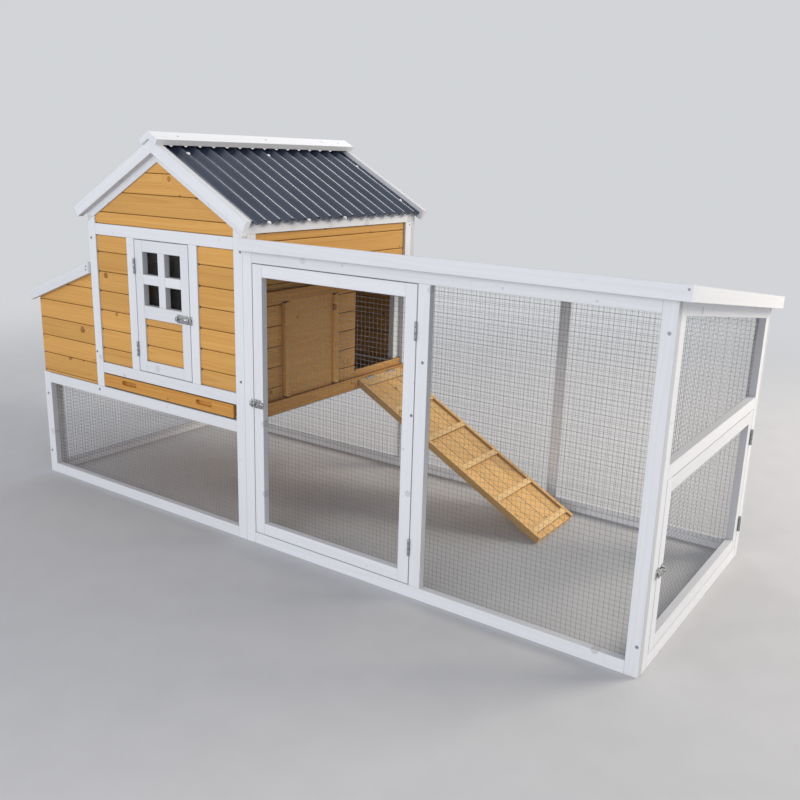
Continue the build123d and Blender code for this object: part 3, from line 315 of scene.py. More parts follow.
lamps = [
    lamp("key", (3.6, 2.6, 2.9), (0.3, 0.1, 0.4), size=2.0, power=157.0, tint=(1.0, 0.91, 0.78)),
    lamp("fill", (0.2, -5.0, 1.9), (0.0, 0.0, 0.5), size=3.5, power=87.0, tint=(0.96, 0.97, 1.0)),
    lamp("roof light", (-1.4, 3.3, 3.35), (-0.45, 0.0, 1.0), size=1.4, power=21.0, tint=(0.95, 0.97, 1.0)),
]
print("lamps", [(one.name, one.data.energy) for one in lamps])

# %% [markdown]
# Every timber on the coop is a straight board, and wood grain always runs along a board. A picture of
# wood can't know which way each board lies, so the boards carry their own coordinates: along, across and
# through the board, in metres from its middle. Knots are round spots in those coordinates. Each cell of
# a flat Voronoi pattern holds one at most, of its own size, and it pushes the growth rings near it
# aside.

# %% Knots
KNOT_CELL = (0.24, 0.075)
KNOT_BOARD_SHIFT = 7.0
KNOT_SHARE = 0.62
KNOT_SMALL = 2.7 * MM
KNOT_GROWTH = 8.5 * MM
KNOT_RIM = (1.25, 0.75)
KNOT_REACH = 5.0
KNOT_PUSH = 9.0 * MM


def board_knots(tree, along, across, board):
    """Where knots are, from 0 to 1, how far they push the rings aside, and the distance in knot radii."""
    shifted = math_node(tree, "ADD", across, math_node(tree, "MULTIPLY", board, KNOT_BOARD_SHIFT))
    cells = stretch(tree, combine(tree, along, shifted), (1 / KNOT_CELL[0], 1 / KNOT_CELL[1], 0.0))
    spots = add(tree, "ShaderNodeTexVoronoi", {"Vector": cells, "Scale": 1.0}, voronoi_dimensions="2D")
    offset = vector_node(tree, "SUBTRACT", cells, spots.outputs["Position"])
    distance = vector_node(tree, "LENGTH", stretch(tree, offset, (*KNOT_CELL, 0.0)))
    chance, other_chance, _ = separate(tree, spots.outputs["Color"])
    there = math_node(tree, "LESS_THAN", other_chance, KNOT_SHARE)
    growth = math_node(tree, "MULTIPLY", math_node(tree, "POWER", chance, 2.0), KNOT_GROWTH)
    share = math_node(tree, "DIVIDE", distance, math_node(tree, "ADD", growth, KNOT_SMALL))
    knot = math_node(tree, "MULTIPLY", ease(tree, share, *KNOT_RIM), there)
    push = math_node(tree, "MULTIPLY", ease(tree, share, KNOT_REACH, 0.0, 0.0, KNOT_PUSH), there)
    return knot, push, share


# %% [markdown]
# In the photograph the joints between siding boards are dark lines, each with a dark spot at its open
# start. That spot is painted shade, the shadow in the gap behind the board's end. The board's half size
# is carried along with the coordinates, so the shader knows how far a point is from a long edge and from
# the start of its board.

# %% Edges of boards
JOINT_WIDTH = 1.7 * MM
GAP_SHADE_SHAPE = (0.6, 1.0, 0.0)
GAP_SHADE_START = 3.0 * MM
GAP_SHADE_END = 5.5 * MM


def board_edges(tree, place, half):
    """How near a point is to a long edge of its board, and to the open start of a joint, from 0 to 1."""
    gap = vector_node(tree, "SUBTRACT", half, vector_node(tree, "ABSOLUTE", place))
    side = separate(tree, gap)[1]
    from_start = separate(tree, vector_node(tree, "ADD", half, place))[0]
    away = vector_node(tree, "LENGTH", stretch(tree, combine(tree, from_start, side), GAP_SHADE_SHAPE))
    # The second value drives a spot of painted shade: the shadow in the gap behind a board's end.
    return ease(tree, side, 0.0, JOINT_WIDTH, 1.0, 0.0), ease(tree, away, GAP_SHADE_START, GAP_SHADE_END, 1.0, 0.0)


# %% [markdown]
# The grain is a solid pattern inside the board. Growth rings are circles round a pith that lies outside
# the board, so a wide face shows long arches and a cut end shows arcs, as in real pine. Noise stretched
# along the board adds fibres and streaks, and each board is a little lighter or darker than the next.
# Under paint the same grain is only fainter, so one tree serves every timber.

# %% Grain
RING_SPACING = 4.6 * MM
RING_TAPER = 0.006
RING_WANDER = 14.0 * MM
RING_SHARE = 0.45
RING_RELIEF = 0.6
LATE_START = 0.2
LATE_FULL = 0.85
LATE_END = 0.9
PITH_START = (0.0, -0.03, 0.02)
PITH_SPREAD = (9.0, 0.06, 0.04)
SLOW_GRAIN = (1.7, 9.0, 9.0)
FIBRE_GRAIN = (9.0, 620.0, 620.0)
FIBRE_SHARE = 0.3
FIBRE_SPAN = (0.4, 0.8)
STREAK_GRAIN = (1.2, 45.0, 45.0)
STREAK_SHARE = 0.4
STREAK_SPAN = (0.35, 0.7)
BOARD_DARKER = 0.12
BOARD_LIGHTER = 0.06
KNOT_RING = (0.55, 0.95)
KNOT_RING_SHARE = 0.6
PALE_ROUGHNESS = 0.55
DEEP_ROUGHNESS = 0.69
RELIEF_DEPTH = 0.4 * MM


def timber(name, pale, deep, knot_colour, joint_colour, rings, knots, joints, spots, gloss, relief):
    """A board's finish, from bare stained pine to paint that hides most of the grain."""
    material, tree, shader = new_material(name)
    place = add(tree, "ShaderNodeAttribute", attribute_name="place").outputs["Vector"]
    half = add(tree, "ShaderNodeAttribute", attribute_name="half").outputs["Vector"]
    board = add(tree, "ShaderNodeAttribute", attribute_name="board").outputs["Fac"]
    dice = add(tree, "ShaderNodeTexWhiteNoise", {"W": board}, noise_dimensions="1D").outputs["Color"]
    pith = vector_node(tree, "MULTIPLY_ADD", dice, PITH_SPREAD, PITH_START)
    grain = vector_node(tree, "ADD", place, pith)
    along, across, _ = separate(tree, grain)
    knot, push, share = board_knots(tree, along, across, board)
    radius = vector_node(tree, "LENGTH", stretch(tree, grain, (0.0, 1.0, 1.0)))
    slow = noise(tree, grain, SLOW_GRAIN, detail=2.0)
    wander = math_node(tree, "MULTIPLY", math_node(tree, "SUBTRACT", slow, 0.5), RING_WANDER)
    reach = math_node(tree, "ADD", math_node(tree, "ADD", radius, wander), push)
    reach = math_node(tree, "ADD", reach, math_node(tree, "MULTIPLY", along, RING_TAPER))
    turn = math_node(tree, "FRACT", math_node(tree, "DIVIDE", reach, RING_SPACING))
    dense = ease(tree, turn, LATE_START, LATE_FULL)
    late = math_node(tree, "MULTIPLY", dense, ease(tree, turn, 1.0, LATE_END))
    fibre = noise(tree, grain, FIBRE_GRAIN, detail=3.0)
    streak = noise(tree, grain, STREAK_GRAIN, detail=3.0)
    weight = math_node(tree, "MULTIPLY", late, RING_SHARE * rings)
    weight = math_node(tree, "ADD", weight, ease(tree, streak, *STREAK_SPAN, 0.0, STREAK_SHARE * rings))
    weight = math_node(tree, "ADD", weight, ease(tree, fibre, *FIBRE_SPAN, 0.0, FIBRE_SHARE * rings))
    wood = mix(tree, weight, pale, deep)
    value = ease(tree, board, 0.0, 1.0, 1.0 - BOARD_DARKER * rings, 1.0 + BOARD_LIGHTER * rings)
    tint = add(tree, "ShaderNodeHueSaturation", {"Color": wood, "Value": value})
    heart = math_node(tree, "MULTIPLY", knot, knots)
    stained = mix(tree, heart, tint.outputs[0], knot_colour)
    ring = math_node(tree, "MULTIPLY", ease(tree, share, *KNOT_RING), heart)
    stained = mix(tree, math_node(tree, "MULTIPLY", ring, KNOT_RING_SHARE), stained, joint_colour)
    # The spot at a joint's open start is painted shade, the shadow in the gap behind the board's end.
    rim, start = board_edges(tree, place, half)
    dark = math_node(tree, "MULTIPLY", rim, joints)
    dark = math_node(tree, "MAXIMUM", dark, math_node(tree, "MULTIPLY", start, spots))
    tree.links.new(mix(tree, dark, stained, joint_colour), shader.inputs["Base Color"])
    rough = ease(tree, weight, 0.0, 1.0, PALE_ROUGHNESS - gloss / 2, DEEP_ROUGHNESS - gloss / 2)
    tree.links.new(rough, shader.inputs["Roughness"])
    height = math_node(tree, "ADD", fibre, math_node(tree, "MULTIPLY", late, RING_RELIEF))
    bump = add(tree, "ShaderNodeBump", {"Height": height, "Strength": relief, "Distance": RELIEF_DEPTH})
    tree.links.new(bump.outputs[0], shader.inputs["Normal"])
    shader.inputs["Specular IOR Level"].default_value = gloss
    return material


# %% [markdown]
# The siding is stained a honey colour and the plain boards amber. The ramp is a paler straw, and its
# cleats are paler still, which is painted highlight for the stronger light on them. The frame is painted
# white, which hides most of the grain and leaves faint grey knots. Joints are darkest on the siding, and
# only the honey boards get a spot of painted shade at each joint's open start.

# %% Timber finishes
KNOT_BROWN = colour(140, 78, 28)
JOINT_BROWN = colour(66, 38, 16)
KNOT_GREY = colour(186, 182, 180)
JOINT_GREY = colour(128, 130, 136)
# On the honey boards, spots sets the painted shade at each joint's open start.
honey = timber(
    "honey siding", colour(228, 174, 97), colour(202, 144, 70), KNOT_BROWN, JOINT_BROWN,
    rings=0.75, knots=0.8, joints=0.95, spots=0.95, gloss=0.25, relief=0.25,
)
amber = timber(
    "amber timber", colour(218, 160, 82), colour(188, 124, 50), KNOT_BROWN, JOINT_BROWN,
    rings=0.75, knots=0.8, joints=0.4, spots=0.0, gloss=0.25, relief=0.25,
)
straw = timber(
    "straw ramp timber", colour(248, 202, 134), colour(226, 170, 96), KNOT_BROWN, JOINT_BROWN,
    rings=0.75, knots=0.7, joints=0.55, spots=0.0, gloss=0.25, relief=0.3,
)
# The cleats' paler tones are painted highlight, for the stronger light that falls on them.
cleats_painted_lit = timber(
    "cleats with painted highlight", colour(251, 213, 151), colour(235, 184, 114), KNOT_BROWN, JOINT_BROWN,
    rings=0.6, knots=0.6, joints=0.5, spots=0.0, gloss=0.25, relief=0.3,
)
white = timber(
    "white painted timber", colour(236, 237, 239), colour(216, 217, 221), KNOT_GREY, JOINT_GREY,
    rings=0.35, knots=0.42, joints=0.35, spots=0.0, gloss=0.1, relief=0.22,
)
print("timber finishes", [finish.name for finish in (honey, amber, straw, cleats_painted_lit, white)])

# %% [markdown]
# A CAD node arrives as loose triangles, one solid after another. To give each board its own grain the
# solids are taken apart again: triangles are gathered until every edge has met its partner, and that is
# one closed board. Its flat faces are joined up again, so that a bevel runs along real edges only.

# %% Solids from CAD nodes
WELD = 2e-6
FLAT_ANGLE = math.radians(1.0)
SHARP_ANGLE = math.radians(20.0)


def closed_solids(node):
    """The triangles of each solid in a CAD node, as lists of corner places."""
    shape = bmesh.new()
    shape.from_mesh(frame["nodes"][node].data)
    twins = bmesh.ops.find_doubles(shape, verts=shape.verts, dist=WELD)["targetmap"]
    solids = []
    triangles = []
    waiting = set()
    for face in shape.faces:
        corners = [twins.get(corner, corner) for corner in face.verts]
        if len(set(corners)) < 3:
            continue
        for index, corner in enumerate(corners):
            waiting ^= {frozenset((corner.index, corners[index - 1].index))}
        triangles.append([(corner.index, corner.co.copy()) for corner in corners])
        if not waiting:
            solids.append(triangles)
            triangles = []
    shape.free()
    assert not triangles, node + " has an open solid"
    return solids


def whole_solid(triangles):
    """One closed solid with its flat faces joined up again."""
    solid = bmesh.new()
    corners = {}
    for triangle in triangles:
        for index, place in triangle:
            if index not in corners:
                corners[index] = solid.verts.new(place)
        solid.faces.new([corners[index] for index, place in triangle])
    bmesh.ops.dissolve_limit(solid, angle_limit=FLAT_ANGLE, verts=solid.verts, edges=solid.edges)
    return solid


def break_edges(solid, width, segments=2):
    """Rounds the sharp edges of a solid."""
    sharp = [edge for edge in solid.edges if edge.is_manifold and edge.calc_face_angle() > SHARP_ANGLE]
    bmesh.ops.bevel(
        solid, geom=sharp, offset=width, offset_type="OFFSET", segments=segments, profile=0.5,
        affect="EDGES", clamp_overlap=True,
    )


print("solids in the ramp", len(closed_solids("ramp_boards")))

# %% [markdown]
# A board's longest sharp edge is its grain direction, and its largest face tells the wide side. Siding
# always runs level, even where a board is cut short. Each corner then carries its place in the board,
# the board's half size and a number of the board's own. They are attributes and not a UV map, because
# solid grain needs three coordinates.

# %% Boards with coordinates
CLEAT_HALF = 0.15


def board_axes(solid, level):
    """Directions along, across and through a board; a level board's grain never climbs."""
    runs = []
    for edge in solid.edges:
        if edge.is_manifold and edge.calc_face_angle() > FLAT_ANGLE:
            run = edge.verts[1].co - edge.verts[0].co
            run *= -1.0 if sum(run) < 0 else 1.0
            runs.append((math.hypot(run.x, run.y) - abs(run.z) if level else run.length, run))
    along = max(runs, key=lambda entry: entry[0])[1].normalized()
    widest = max(solid.faces, key=lambda face: face.calc_area() * (1 - abs(face.normal.dot(along))))
    through = (widest.normal - widest.normal.dot(along) * along).normalized()
    return along, through.cross(along), through


def stand_for(piece, node):
    """Lets a piece stand for a CAD node: it rides on the same body, and the node is hidden."""
    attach(piece, BODY_OF[node])
    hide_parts(node)
    return piece


def put_values(mesh, name, values):
    """Writes one number or one vector for each corner of a mesh."""
    if isinstance(values[0], Vector):
        flat = [part for value in values for part in value]
        mesh.attributes.new(name, "FLOAT_VECTOR", "POINT").data.foreach_set("vector", flat)
    else:
        mesh.attributes.new(name, "FLOAT", "POINT").data.foreach_set("value", values)


def boarded(node, materials, edge, level):
    """Rebuilds a timber node board by board, with soft edges and its own coordinates on each board.

    A second, paler material, a painted highlight, is for the short boards that lie across the others.
    """
    corners, faces, places, halves, boards, finishes = [], [], [], [], [], []
    for index, triangles in enumerate(closed_solids(node)):
        solid = whole_solid(triangles)
        axes = board_axes(solid, level)
        reach = [[corner.co.dot(axis) for corner in solid.verts] for axis in axes]
        middle = Vector([(max(values) + min(values)) / 2 for values in reach])
        half = Vector([(max(values) - min(values)) / 2 for values in reach])
        break_edges(solid, edge)
        solid.verts.index_update()
        start = len(corners)
        for corner in solid.verts:
            corners.append(corner.co.copy())
            places.append(Vector([corner.co.dot(axis) for axis in axes]) - middle)
        count = len(corners) - start
        halves.extend([half] * count)
        boards.extend([random.Random(f"{node} {index}").random()] * count)
        faces.extend([start + corner.index for corner in face.verts] for face in solid.faces)
        finishes.extend([int(len(materials) > 1 and half.x < CLEAT_HALF)] * len(solid.faces))
        solid.free()
    mesh = bpy.data.meshes.new(node + "_timber")
    mesh.from_pydata(corners, [], faces)
    put_values(mesh, "place", places)
    put_values(mesh, "half", halves)
    put_values(mesh, "board", boards)
    for material in materials:
        mesh.materials.append(material)
    mesh.polygons.foreach_set("material_index", finishes)
    return stand_for(add_object(node + "_timber", mesh), node)


# %% [markdown]
# The white frame, the siding, the plain boards and the ramp are dressed in turn, each piece in place of
# its CAD node. A small bevel breaks the sharp arrises, as sanding does on real timber, and a wider one
# on siding makes the V joint between two boards.

# %% Timber on the coop
TIMBER_EDGE = 0.9 * MM
SIDING_EDGE = 1.3 * MM
HONEY_NODES = [
    "house_front_siding", "house_back_siding", "house_left_siding", "house_right_siding",
    "house_door_boards", "nest_box_siding", "pop_door",
]
AMBER_NODES = [
    "pop_door_guides", "perch", "perch_brackets", "tray_front", "tray_pan", "nest_box_floor",
    "nest_dividers",
]
for group, finishes, edge, level in (
    (slot_nodes("white_timber"), [white], TIMBER_EDGE, False),
    (HONEY_NODES, [honey], SIDING_EDGE, True),
    (AMBER_NODES, [amber], TIMBER_EDGE, False),
    (["ramp_boards"], [straw, cleats_painted_lit], TIMBER_EDGE, False),
):
    pieces = [boarded(node, finishes, edge, level) for node in group]
    print(finishes[0].name, len(pieces), "pieces", sum(len(piece.data.polygons) for piece in pieces), "faces")

# %% [markdown]
# What repeats on the coop is made with Geometry Nodes. A tree gets named inputs for its sizes, and it
# ends with real geometry that has a material, because instances are lost when a model leaves Blender.
# The result is taken as a plain mesh, and the object that ran the tree is removed.

# %% Helpers for geometry trees


def tree_inputs(tree, sockets):
    """Named inputs of a geometry tree, as {name: identifier}."""
    kinds = {
        "FLOAT": "NodeSocketFloat", "INT": "NodeSocketInt", "MATERIAL": "NodeSocketMaterial",
        "GEOMETRY": "NodeSocketGeometry",
    }
    made = {}
    for name, kind in sockets.items():
        socket = tree.interface.new_socket(name=name, in_out="INPUT", socket_type=kinds[kind])
        made[name] = socket.identifier
    tree.interface.new_socket(name="Geometry", in_out="OUTPUT", socket_type="NodeSocketGeometry")
    return made


def together(tree, *parts):
    """Several geometries as one."""
    made = add(tree, "GeometryNodeJoinGeometry")
    for part in parts:
        tree.links.new(part, made.inputs[0])
    return made.outputs[0]


def finish_tree(tree, geometry, material):
    """Ends a tree: real geometry with a material on it."""
    real = add(tree, "GeometryNodeRealizeInstances", {0: geometry}).outputs[0]
    painted = add(tree, "GeometryNodeSetMaterial", {"Geometry": real, "Material": material}).outputs[0]
    add(tree, "NodeGroupOutput", {0: painted})


def grown_mesh(name, tree, identifiers, values, seed_mesh=None):
    """Runs a geometry tree on an object and returns its plain mesh."""
    holder = add_object(name, seed_mesh or bpy.data.meshes.new(name))
    modifier = holder.modifiers.new("nodes", "NODES")
    modifier.node_group = tree
    for key, value in values.items():
        modifier[identifiers[key]] = value
    ready = holder.evaluated_get(bpy.context.evaluated_depsgraph_get())
    mesh = bpy.data.meshes.new_from_object(ready)
    holder.modifiers.remove(modifier)
    bpy.data.objects.remove(holder)
    return mesh


# %% [markdown]
# The run is closed with welded wire: straight wires half an inch apart, the cross wires lying on the
# uprights. Geometry Nodes suit it well, because one wire is repeated along a line. The tree draws one
# sheet standing on the X axis; its top may slope from the start height to the end height, so a cross
# wire above the lower end stops where the slope cuts it.

# %% Wire tree
WIRE_SIDES = 6
CROSS_WIRE_BACK = 1.7
TINY_FALL = 1e-6


def wire_tree():
    """A sheet of welded wire."""
    tree = bpy.data.node_groups.new("welded wire", "GeometryNodeTree")
    identifiers = tree_inputs(tree, {
        "Width": "FLOAT", "Start Height": "FLOAT", "End Height": "FLOAT", "Pitch": "FLOAT",
        "Wire Radius": "FLOAT", "Wobble": "FLOAT", "Seed": "INT", "Material": "MATERIAL",
    })
    given = add(tree, "NodeGroupInput").outputs
    tallest = math_node(tree, "MAXIMUM", given["Start Height"], given["End Height"])
    wire = add(
        tree, "GeometryNodeMeshCylinder", {"Vertices": WIRE_SIDES, "Radius": 1.0, "Depth": 1.0},
        fill_type="NGON",
    ).outputs[0]
    wire = add(tree, "GeometryNodeTransform", {"Geometry": wire, "Translation": (0.0, 0.0, 0.5)}).outputs[0]
    wire = add(tree, "GeometryNodeSetShadeSmooth", {"Geometry": wire}).outputs[0]
    place = add(tree, "GeometryNodeInputPosition").outputs[0]
    along, _, up = separate(tree, place)

    def row(length, step, start):
        count = math_node(tree, "FLOOR", math_node(tree, "DIVIDE", length, given["Pitch"]))
        line = add(
            tree, "GeometryNodeMeshLine",
            {"Count": math_node(tree, "ADD", count, 1.0), "Start Location": start, "Offset": step},
            mode="OFFSET",
        ).outputs[0]
        sway = add(
            tree, "FunctionNodeRandomValue", {"Min": (-1.0,) * 3, "Max": (1.0,) * 3, "Seed": given["Seed"]},
            data_type="FLOAT_VECTOR",
        ).outputs[0]
        shift = stretch(tree, sway, combine(tree, x=given["Wobble"], z=given["Wobble"]))
        return add(tree, "GeometryNodeSetPosition", {"Geometry": line, "Offset": shift}).outputs[0]

    def wires(points, length, turn):
        size = combine(tree, given["Wire Radius"], given["Wire Radius"], length)
        return add(
            tree, "GeometryNodeInstanceOnPoints",
            {"Points": points, "Instance": wire, "Rotation": turn, "Scale": size},
        ).outputs[0]

    step_along = combine(tree, x=given["Pitch"])
    step_up = combine(tree, z=given["Pitch"])
    depth = math_node(tree, "MULTIPLY", given["Wire Radius"], CROSS_WIRE_BACK)
    behind = combine(tree, y=depth)
    share = math_node(tree, "DIVIDE", along, given["Width"])
    fall = math_node(tree, "SUBTRACT", given["End Height"], given["Start Height"])
    height = math_node(tree, "ADD", given["Start Height"], math_node(tree, "MULTIPLY", share, fall))
    uprights = wires(row(given["Width"], step_along, (0.0, 0.0, 0.0)), height, (0.0, 0.0, 0.0))
    safe_fall = math_node(tree, "SUBTRACT", fall, TINY_FALL)
    cut = math_node(tree, "DIVIDE", math_node(tree, "SUBTRACT", up, given["Start Height"]), safe_fall)
    kept = add(tree, "ShaderNodeClamp", {0: cut}).outputs[0]
    length = math_node(tree, "MULTIPLY", given["Width"], kept)
    crossing = wires(row(tallest, step_up, behind), length, (0.0, math.pi / 2, 0.0))
    finish_tree(tree, together(tree, crossing, uprights), given["Material"])
    return tree, identifiers


wire_group, wire_names = wire_tree()
print("wire tree", len(wire_group.nodes), "nodes")

# %% [markdown]
# Wire, hinges, bolts and screws are steel with a zinc coat. Zinc sets in flakes, each a little lighter
# or darker than the next, which are the cells of a Voronoi pattern here, with slow clouds over them. One
# function makes every zinc finish, from its two colours and its roughness.

# %% Zinc finish
SPANGLE = 320.0
ZINC_CLOUD = (60.0, 60.0, 60.0)
ZINC_METAL = 0.85
ZINC_DULLING = 0.2
ZINC_SPAN = (0.2, 0.8)


def galvanised(name, bright, dull, roughness):
    """Zinc-coated steel with its cloudy spangle."""
    material, tree, shader = new_material(name)
    place = object_place(tree)
    cells = add(tree, "ShaderNodeTexVoronoi", {"Vector": place, "Scale": SPANGLE})
    flake = separate(tree, cells.outputs["Color"])[0]
    cloud = noise(tree, place, ZINC_CLOUD, detail=3.0)
    weight = math_node(tree, "MULTIPLY", math_node(tree, "ADD", flake, cloud), 0.5)
    tree.links.new(mix(tree, weight, bright, dull), shader.inputs["Base Color"])
    shader.inputs["Metallic"].default_value = ZINC_METAL
    rough = ease(tree, weight, *ZINC_SPAN, roughness, roughness + ZINC_DULLING)
    tree.links.new(rough, shader.inputs["Roughness"])
    return material


wire_zinc = galvanised("galvanised wire", colour(168, 170, 173), colour(120, 123, 127), roughness=0.35)
print("zinc finish", wire_zinc.name)

# %% [markdown]
# The CAD's mesh sheets are coarse, so real wire takes their place. The CAD sheet gives the size, the way
# the sheet faces, and the height of each of its ends. A slight wobble keeps the wires from looking
# ruled.

# %% Wire sheets
WIRE_PITCH = 12.7 * MM
WIRE_RADIUS = 0.34 * MM
WIRE_WOBBLE = 0.35 * MM
WIRE_SEED = 3
SHEET_SIDE = 2.0 * MM


def wire_sheet(node, tree, identifiers, material):
    """Replaces a coarse CAD mesh sheet by real wire of the same size and place."""
    low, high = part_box(node)
    size = high - low
    faces_end = size.x < size.y
    axis = 1 if faces_end else 0
    width = size[axis]
    corners = [corner.co for corner in frame["nodes"][node].data.vertices]
    tops = []
    for side in (0.0, width):
        tops.append(max(place.z for place in corners if abs(place[axis] - low[axis] - side) < SHEET_SIDE))
    values = {
        "Width": width, "Start Height": tops[0] - low.z, "End Height": tops[1] - low.z,
        "Pitch": WIRE_PITCH, "Wire Radius": WIRE_RADIUS, "Wobble": WIRE_WOBBLE, "Seed": WIRE_SEED,
        "Material": material,
    }
    mesh = grown_mesh(node + "_wire", tree, identifiers, values)
    turn = Matrix.Rotation(math.pi / 2, 4, "Z") if faces_end else Matrix.Identity(4)
    middle = (low + high) / 2
    corner = Vector((middle.x, low.y, low.z)) if faces_end else Vector((low.x, middle.y, low.z))
    mesh.transform(Matrix.Translation(corner) @ turn)
    return stand_for(add_object(node + "_wire", mesh), node)


for node in slot_nodes("wire_mesh"):
    sheet = wire_sheet(node, wire_group, wire_names, wire_zinc)
    print(sheet.name, len(sheet.data.polygons), "faces")

# %% [markdown]
# The roof is corrugated sheet. A wave is a rule, so the sheet is a flat grid whose points are lifted by
# a sine across its width, and the grid is then given a thickness. The house roof and the run roof use
# the same tree with other sizes.

# %% Corrugated tree
STEPS_PER_WAVE = 14
STEPS_DOWN = 9
SHEET_WELD = 0.01 * MM


def corrugated_tree():
    """A wavy sheet: X down the slope, Y across the waves, troughs on the local plane."""
    tree = bpy.data.node_groups.new("corrugated sheet", "GeometryNodeTree")
    identifiers = tree_inputs(tree, {
        "Length": "FLOAT", "Width": "FLOAT", "Waves": "INT", "Wave Height": "FLOAT",
        "Thickness": "FLOAT", "Material": "MATERIAL",
    })
    given = add(tree, "NodeGroupInput").outputs
    steps = math_node(tree, "MULTIPLY", given["Waves"], float(STEPS_PER_WAVE))
    grid = add(
        tree, "GeometryNodeMeshGrid",
        {
            "Size X": given["Length"], "Size Y": given["Width"], "Vertices X": STEPS_DOWN,
            "Vertices Y": math_node(tree, "ADD", steps, 1.0),
        },
    ).outputs[0]
    place = add(tree, "GeometryNodeInputPosition").outputs[0]
    across = separate(tree, place)[1]
    share = math_node(tree, "ADD", math_node(tree, "DIVIDE", across, given["Width"]), 0.5)
    turns = math_node(tree, "MULTIPLY", math_node(tree, "MULTIPLY", share, given["Waves"]), 2 * math.pi)
    swing = math_node(tree, "ADD", math_node(tree, "SINE", turns), 1.0)
    lift = math_node(tree, "MULTIPLY", math_node(tree, "MULTIPLY", swing, 0.5), given["Wave Height"])
    rise = combine(tree, z=lift)
    under = add(tree, "GeometryNodeSetPosition", {"Geometry": grid, "Offset": rise}).outputs[0]
    thick = combine(tree, z=given["Thickness"])
    skin = add(
        tree, "GeometryNodeExtrudeMesh", {"Mesh": under, "Offset": thick, "Individual": False}, mode="FACES"
    ).outputs[0]
    lining = add(tree, "GeometryNodeFlipFaces", {0: under}).outputs[0]
    both = together(tree, skin, lining)
    closed = add(tree, "GeometryNodeMergeByDistance", {"Geometry": both, "Distance": SHEET_WELD}).outputs[0]
    smooth = add(tree, "GeometryNodeSetShadeSmooth", {"Geometry": closed}).outputs[0]
    finish_tree(tree, smooth, given["Material"])
    return tree, identifiers


sheet_group, sheet_names = corrugated_tree()
print("corrugated tree", len(sheet_group.nodes), "nodes")

# %% [markdown]
# The sheets are slate-coloured: fine grit, and slow clouds of tone. The house roof has a satin coat that
# catches light along its crests, and the run's sheet is duller, so shine is one number here. It lowers
# the roughness and adds a clear coat.

# %% Slate finish
SLATE_DEEP = colour(36, 45, 62)
SLATE_PALE = colour(52, 62, 84)
SLATE_GRIT = (900.0, 900.0, 900.0)
SLATE_CLOUD = (7.0, 11.0, 7.0)
GRIT_SHARE = 0.45
CLOUD_SHARE = 0.5
GRIT_DEPTH = 0.3 * MM
SLATE_ROUGHNESS = (0.68, 0.78)
SHINE_SMOOTHING = 0.46
COAT_SHARE = 0.6
COAT_ROUGHNESS = 0.2


def slate_sheet(name, shine, grit_relief):
    """Slate-coloured roofing: fine grit, slow clouds of tone, and more or less shine."""
    material, tree, shader = new_material(name)
    place = object_place(tree)
    grit = noise(tree, place, SLATE_GRIT, detail=2.0)
    cloud = noise(tree, place, SLATE_CLOUD, detail=4.0)
    specks = ease(tree, grit, *NOISE_SPAN, 0.0, GRIT_SHARE)
    weight = math_node(tree, "ADD", specks, ease(tree, cloud, *NOISE_SPAN, 0.0, CLOUD_SHARE))
    tree.links.new(mix(tree, weight, SLATE_DEEP, SLATE_PALE), shader.inputs["Base Color"])
    smoothest, roughest = [value - SHINE_SMOOTHING * shine for value in SLATE_ROUGHNESS]
    tree.links.new(ease(tree, weight, 0.0, 1.0, smoothest, roughest), shader.inputs["Roughness"])
    shader.inputs["Coat Weight"].default_value = COAT_SHARE * shine
    shader.inputs["Coat Roughness"].default_value = COAT_ROUGHNESS
    bump = add(tree, "ShaderNodeBump", {"Height": grit, "Strength": grit_relief, "Distance": GRIT_DEPTH})
    tree.links.new(bump.outputs[0], shader.inputs["Normal"])
    return material


slate = slate_sheet("slate roofing sheet", shine=1.0, grit_relief=0.15)
dull_slate = slate_sheet("dull slate run sheet", shine=0.25, grit_relief=0.3)
print("slate finishes", [finish.name for finish in (slate, dull_slate)])

# %% [markdown]
# The house roof is two sheets that nearly meet at the ridge, under its cap. The tree draws a sheet flat,
# so a small frame on each slope, with X down it and Y across it, carries the sheet there. The box of the
# CAD roof gives the lengths.

# %% House roof
ROOF_ANGLE = math.radians(29.3)
ROOF_WAVE = 14.0 * MM
ROOF_WAVES = 15
RIDGE_GAP = 2.0 * MM
SHEET_THICK = 1.5 * MM
SHEET_SHARP = math.radians(50.0)


def wavy_sheet(tree, identifiers, place, size, waves, height, material):
    """One corrugated sheet; place carries the middle of its upper edge to the roof."""
    length, width = size
    values = {
        "Length": length, "Width": width, "Waves": waves, "Wave Height": height,
        "Thickness": SHEET_THICK, "Material": material,
    }
    mesh = grown_mesh("wavy sheet", tree, identifiers, values)
    mesh.transform(place @ Matrix.Translation((length / 2, 0.0, 0.0)))
    mesh.set_sharp_from_angle(angle=SHEET_SHARP)
    return mesh


def joined(name, meshes):
    """Several meshes as one."""
    shape = bmesh.new()
    for mesh in meshes:
        shape.from_mesh(mesh)
    whole = bpy.data.meshes.new(name)
    shape.to_mesh(whole)
    shape.free()
    for material in meshes[0].materials:
        whole.materials.append(material)
    return whole


def slope_place(origin, down, across):
    """A frame on a slope: X down it, Y across it and Z square to it."""
    down = Vector(down).normalized()
    across = Vector(across).normalized()
    turn = Matrix((down, across, down.cross(across))).transposed()
    return Matrix.Translation(origin) @ turn.to_4x4()


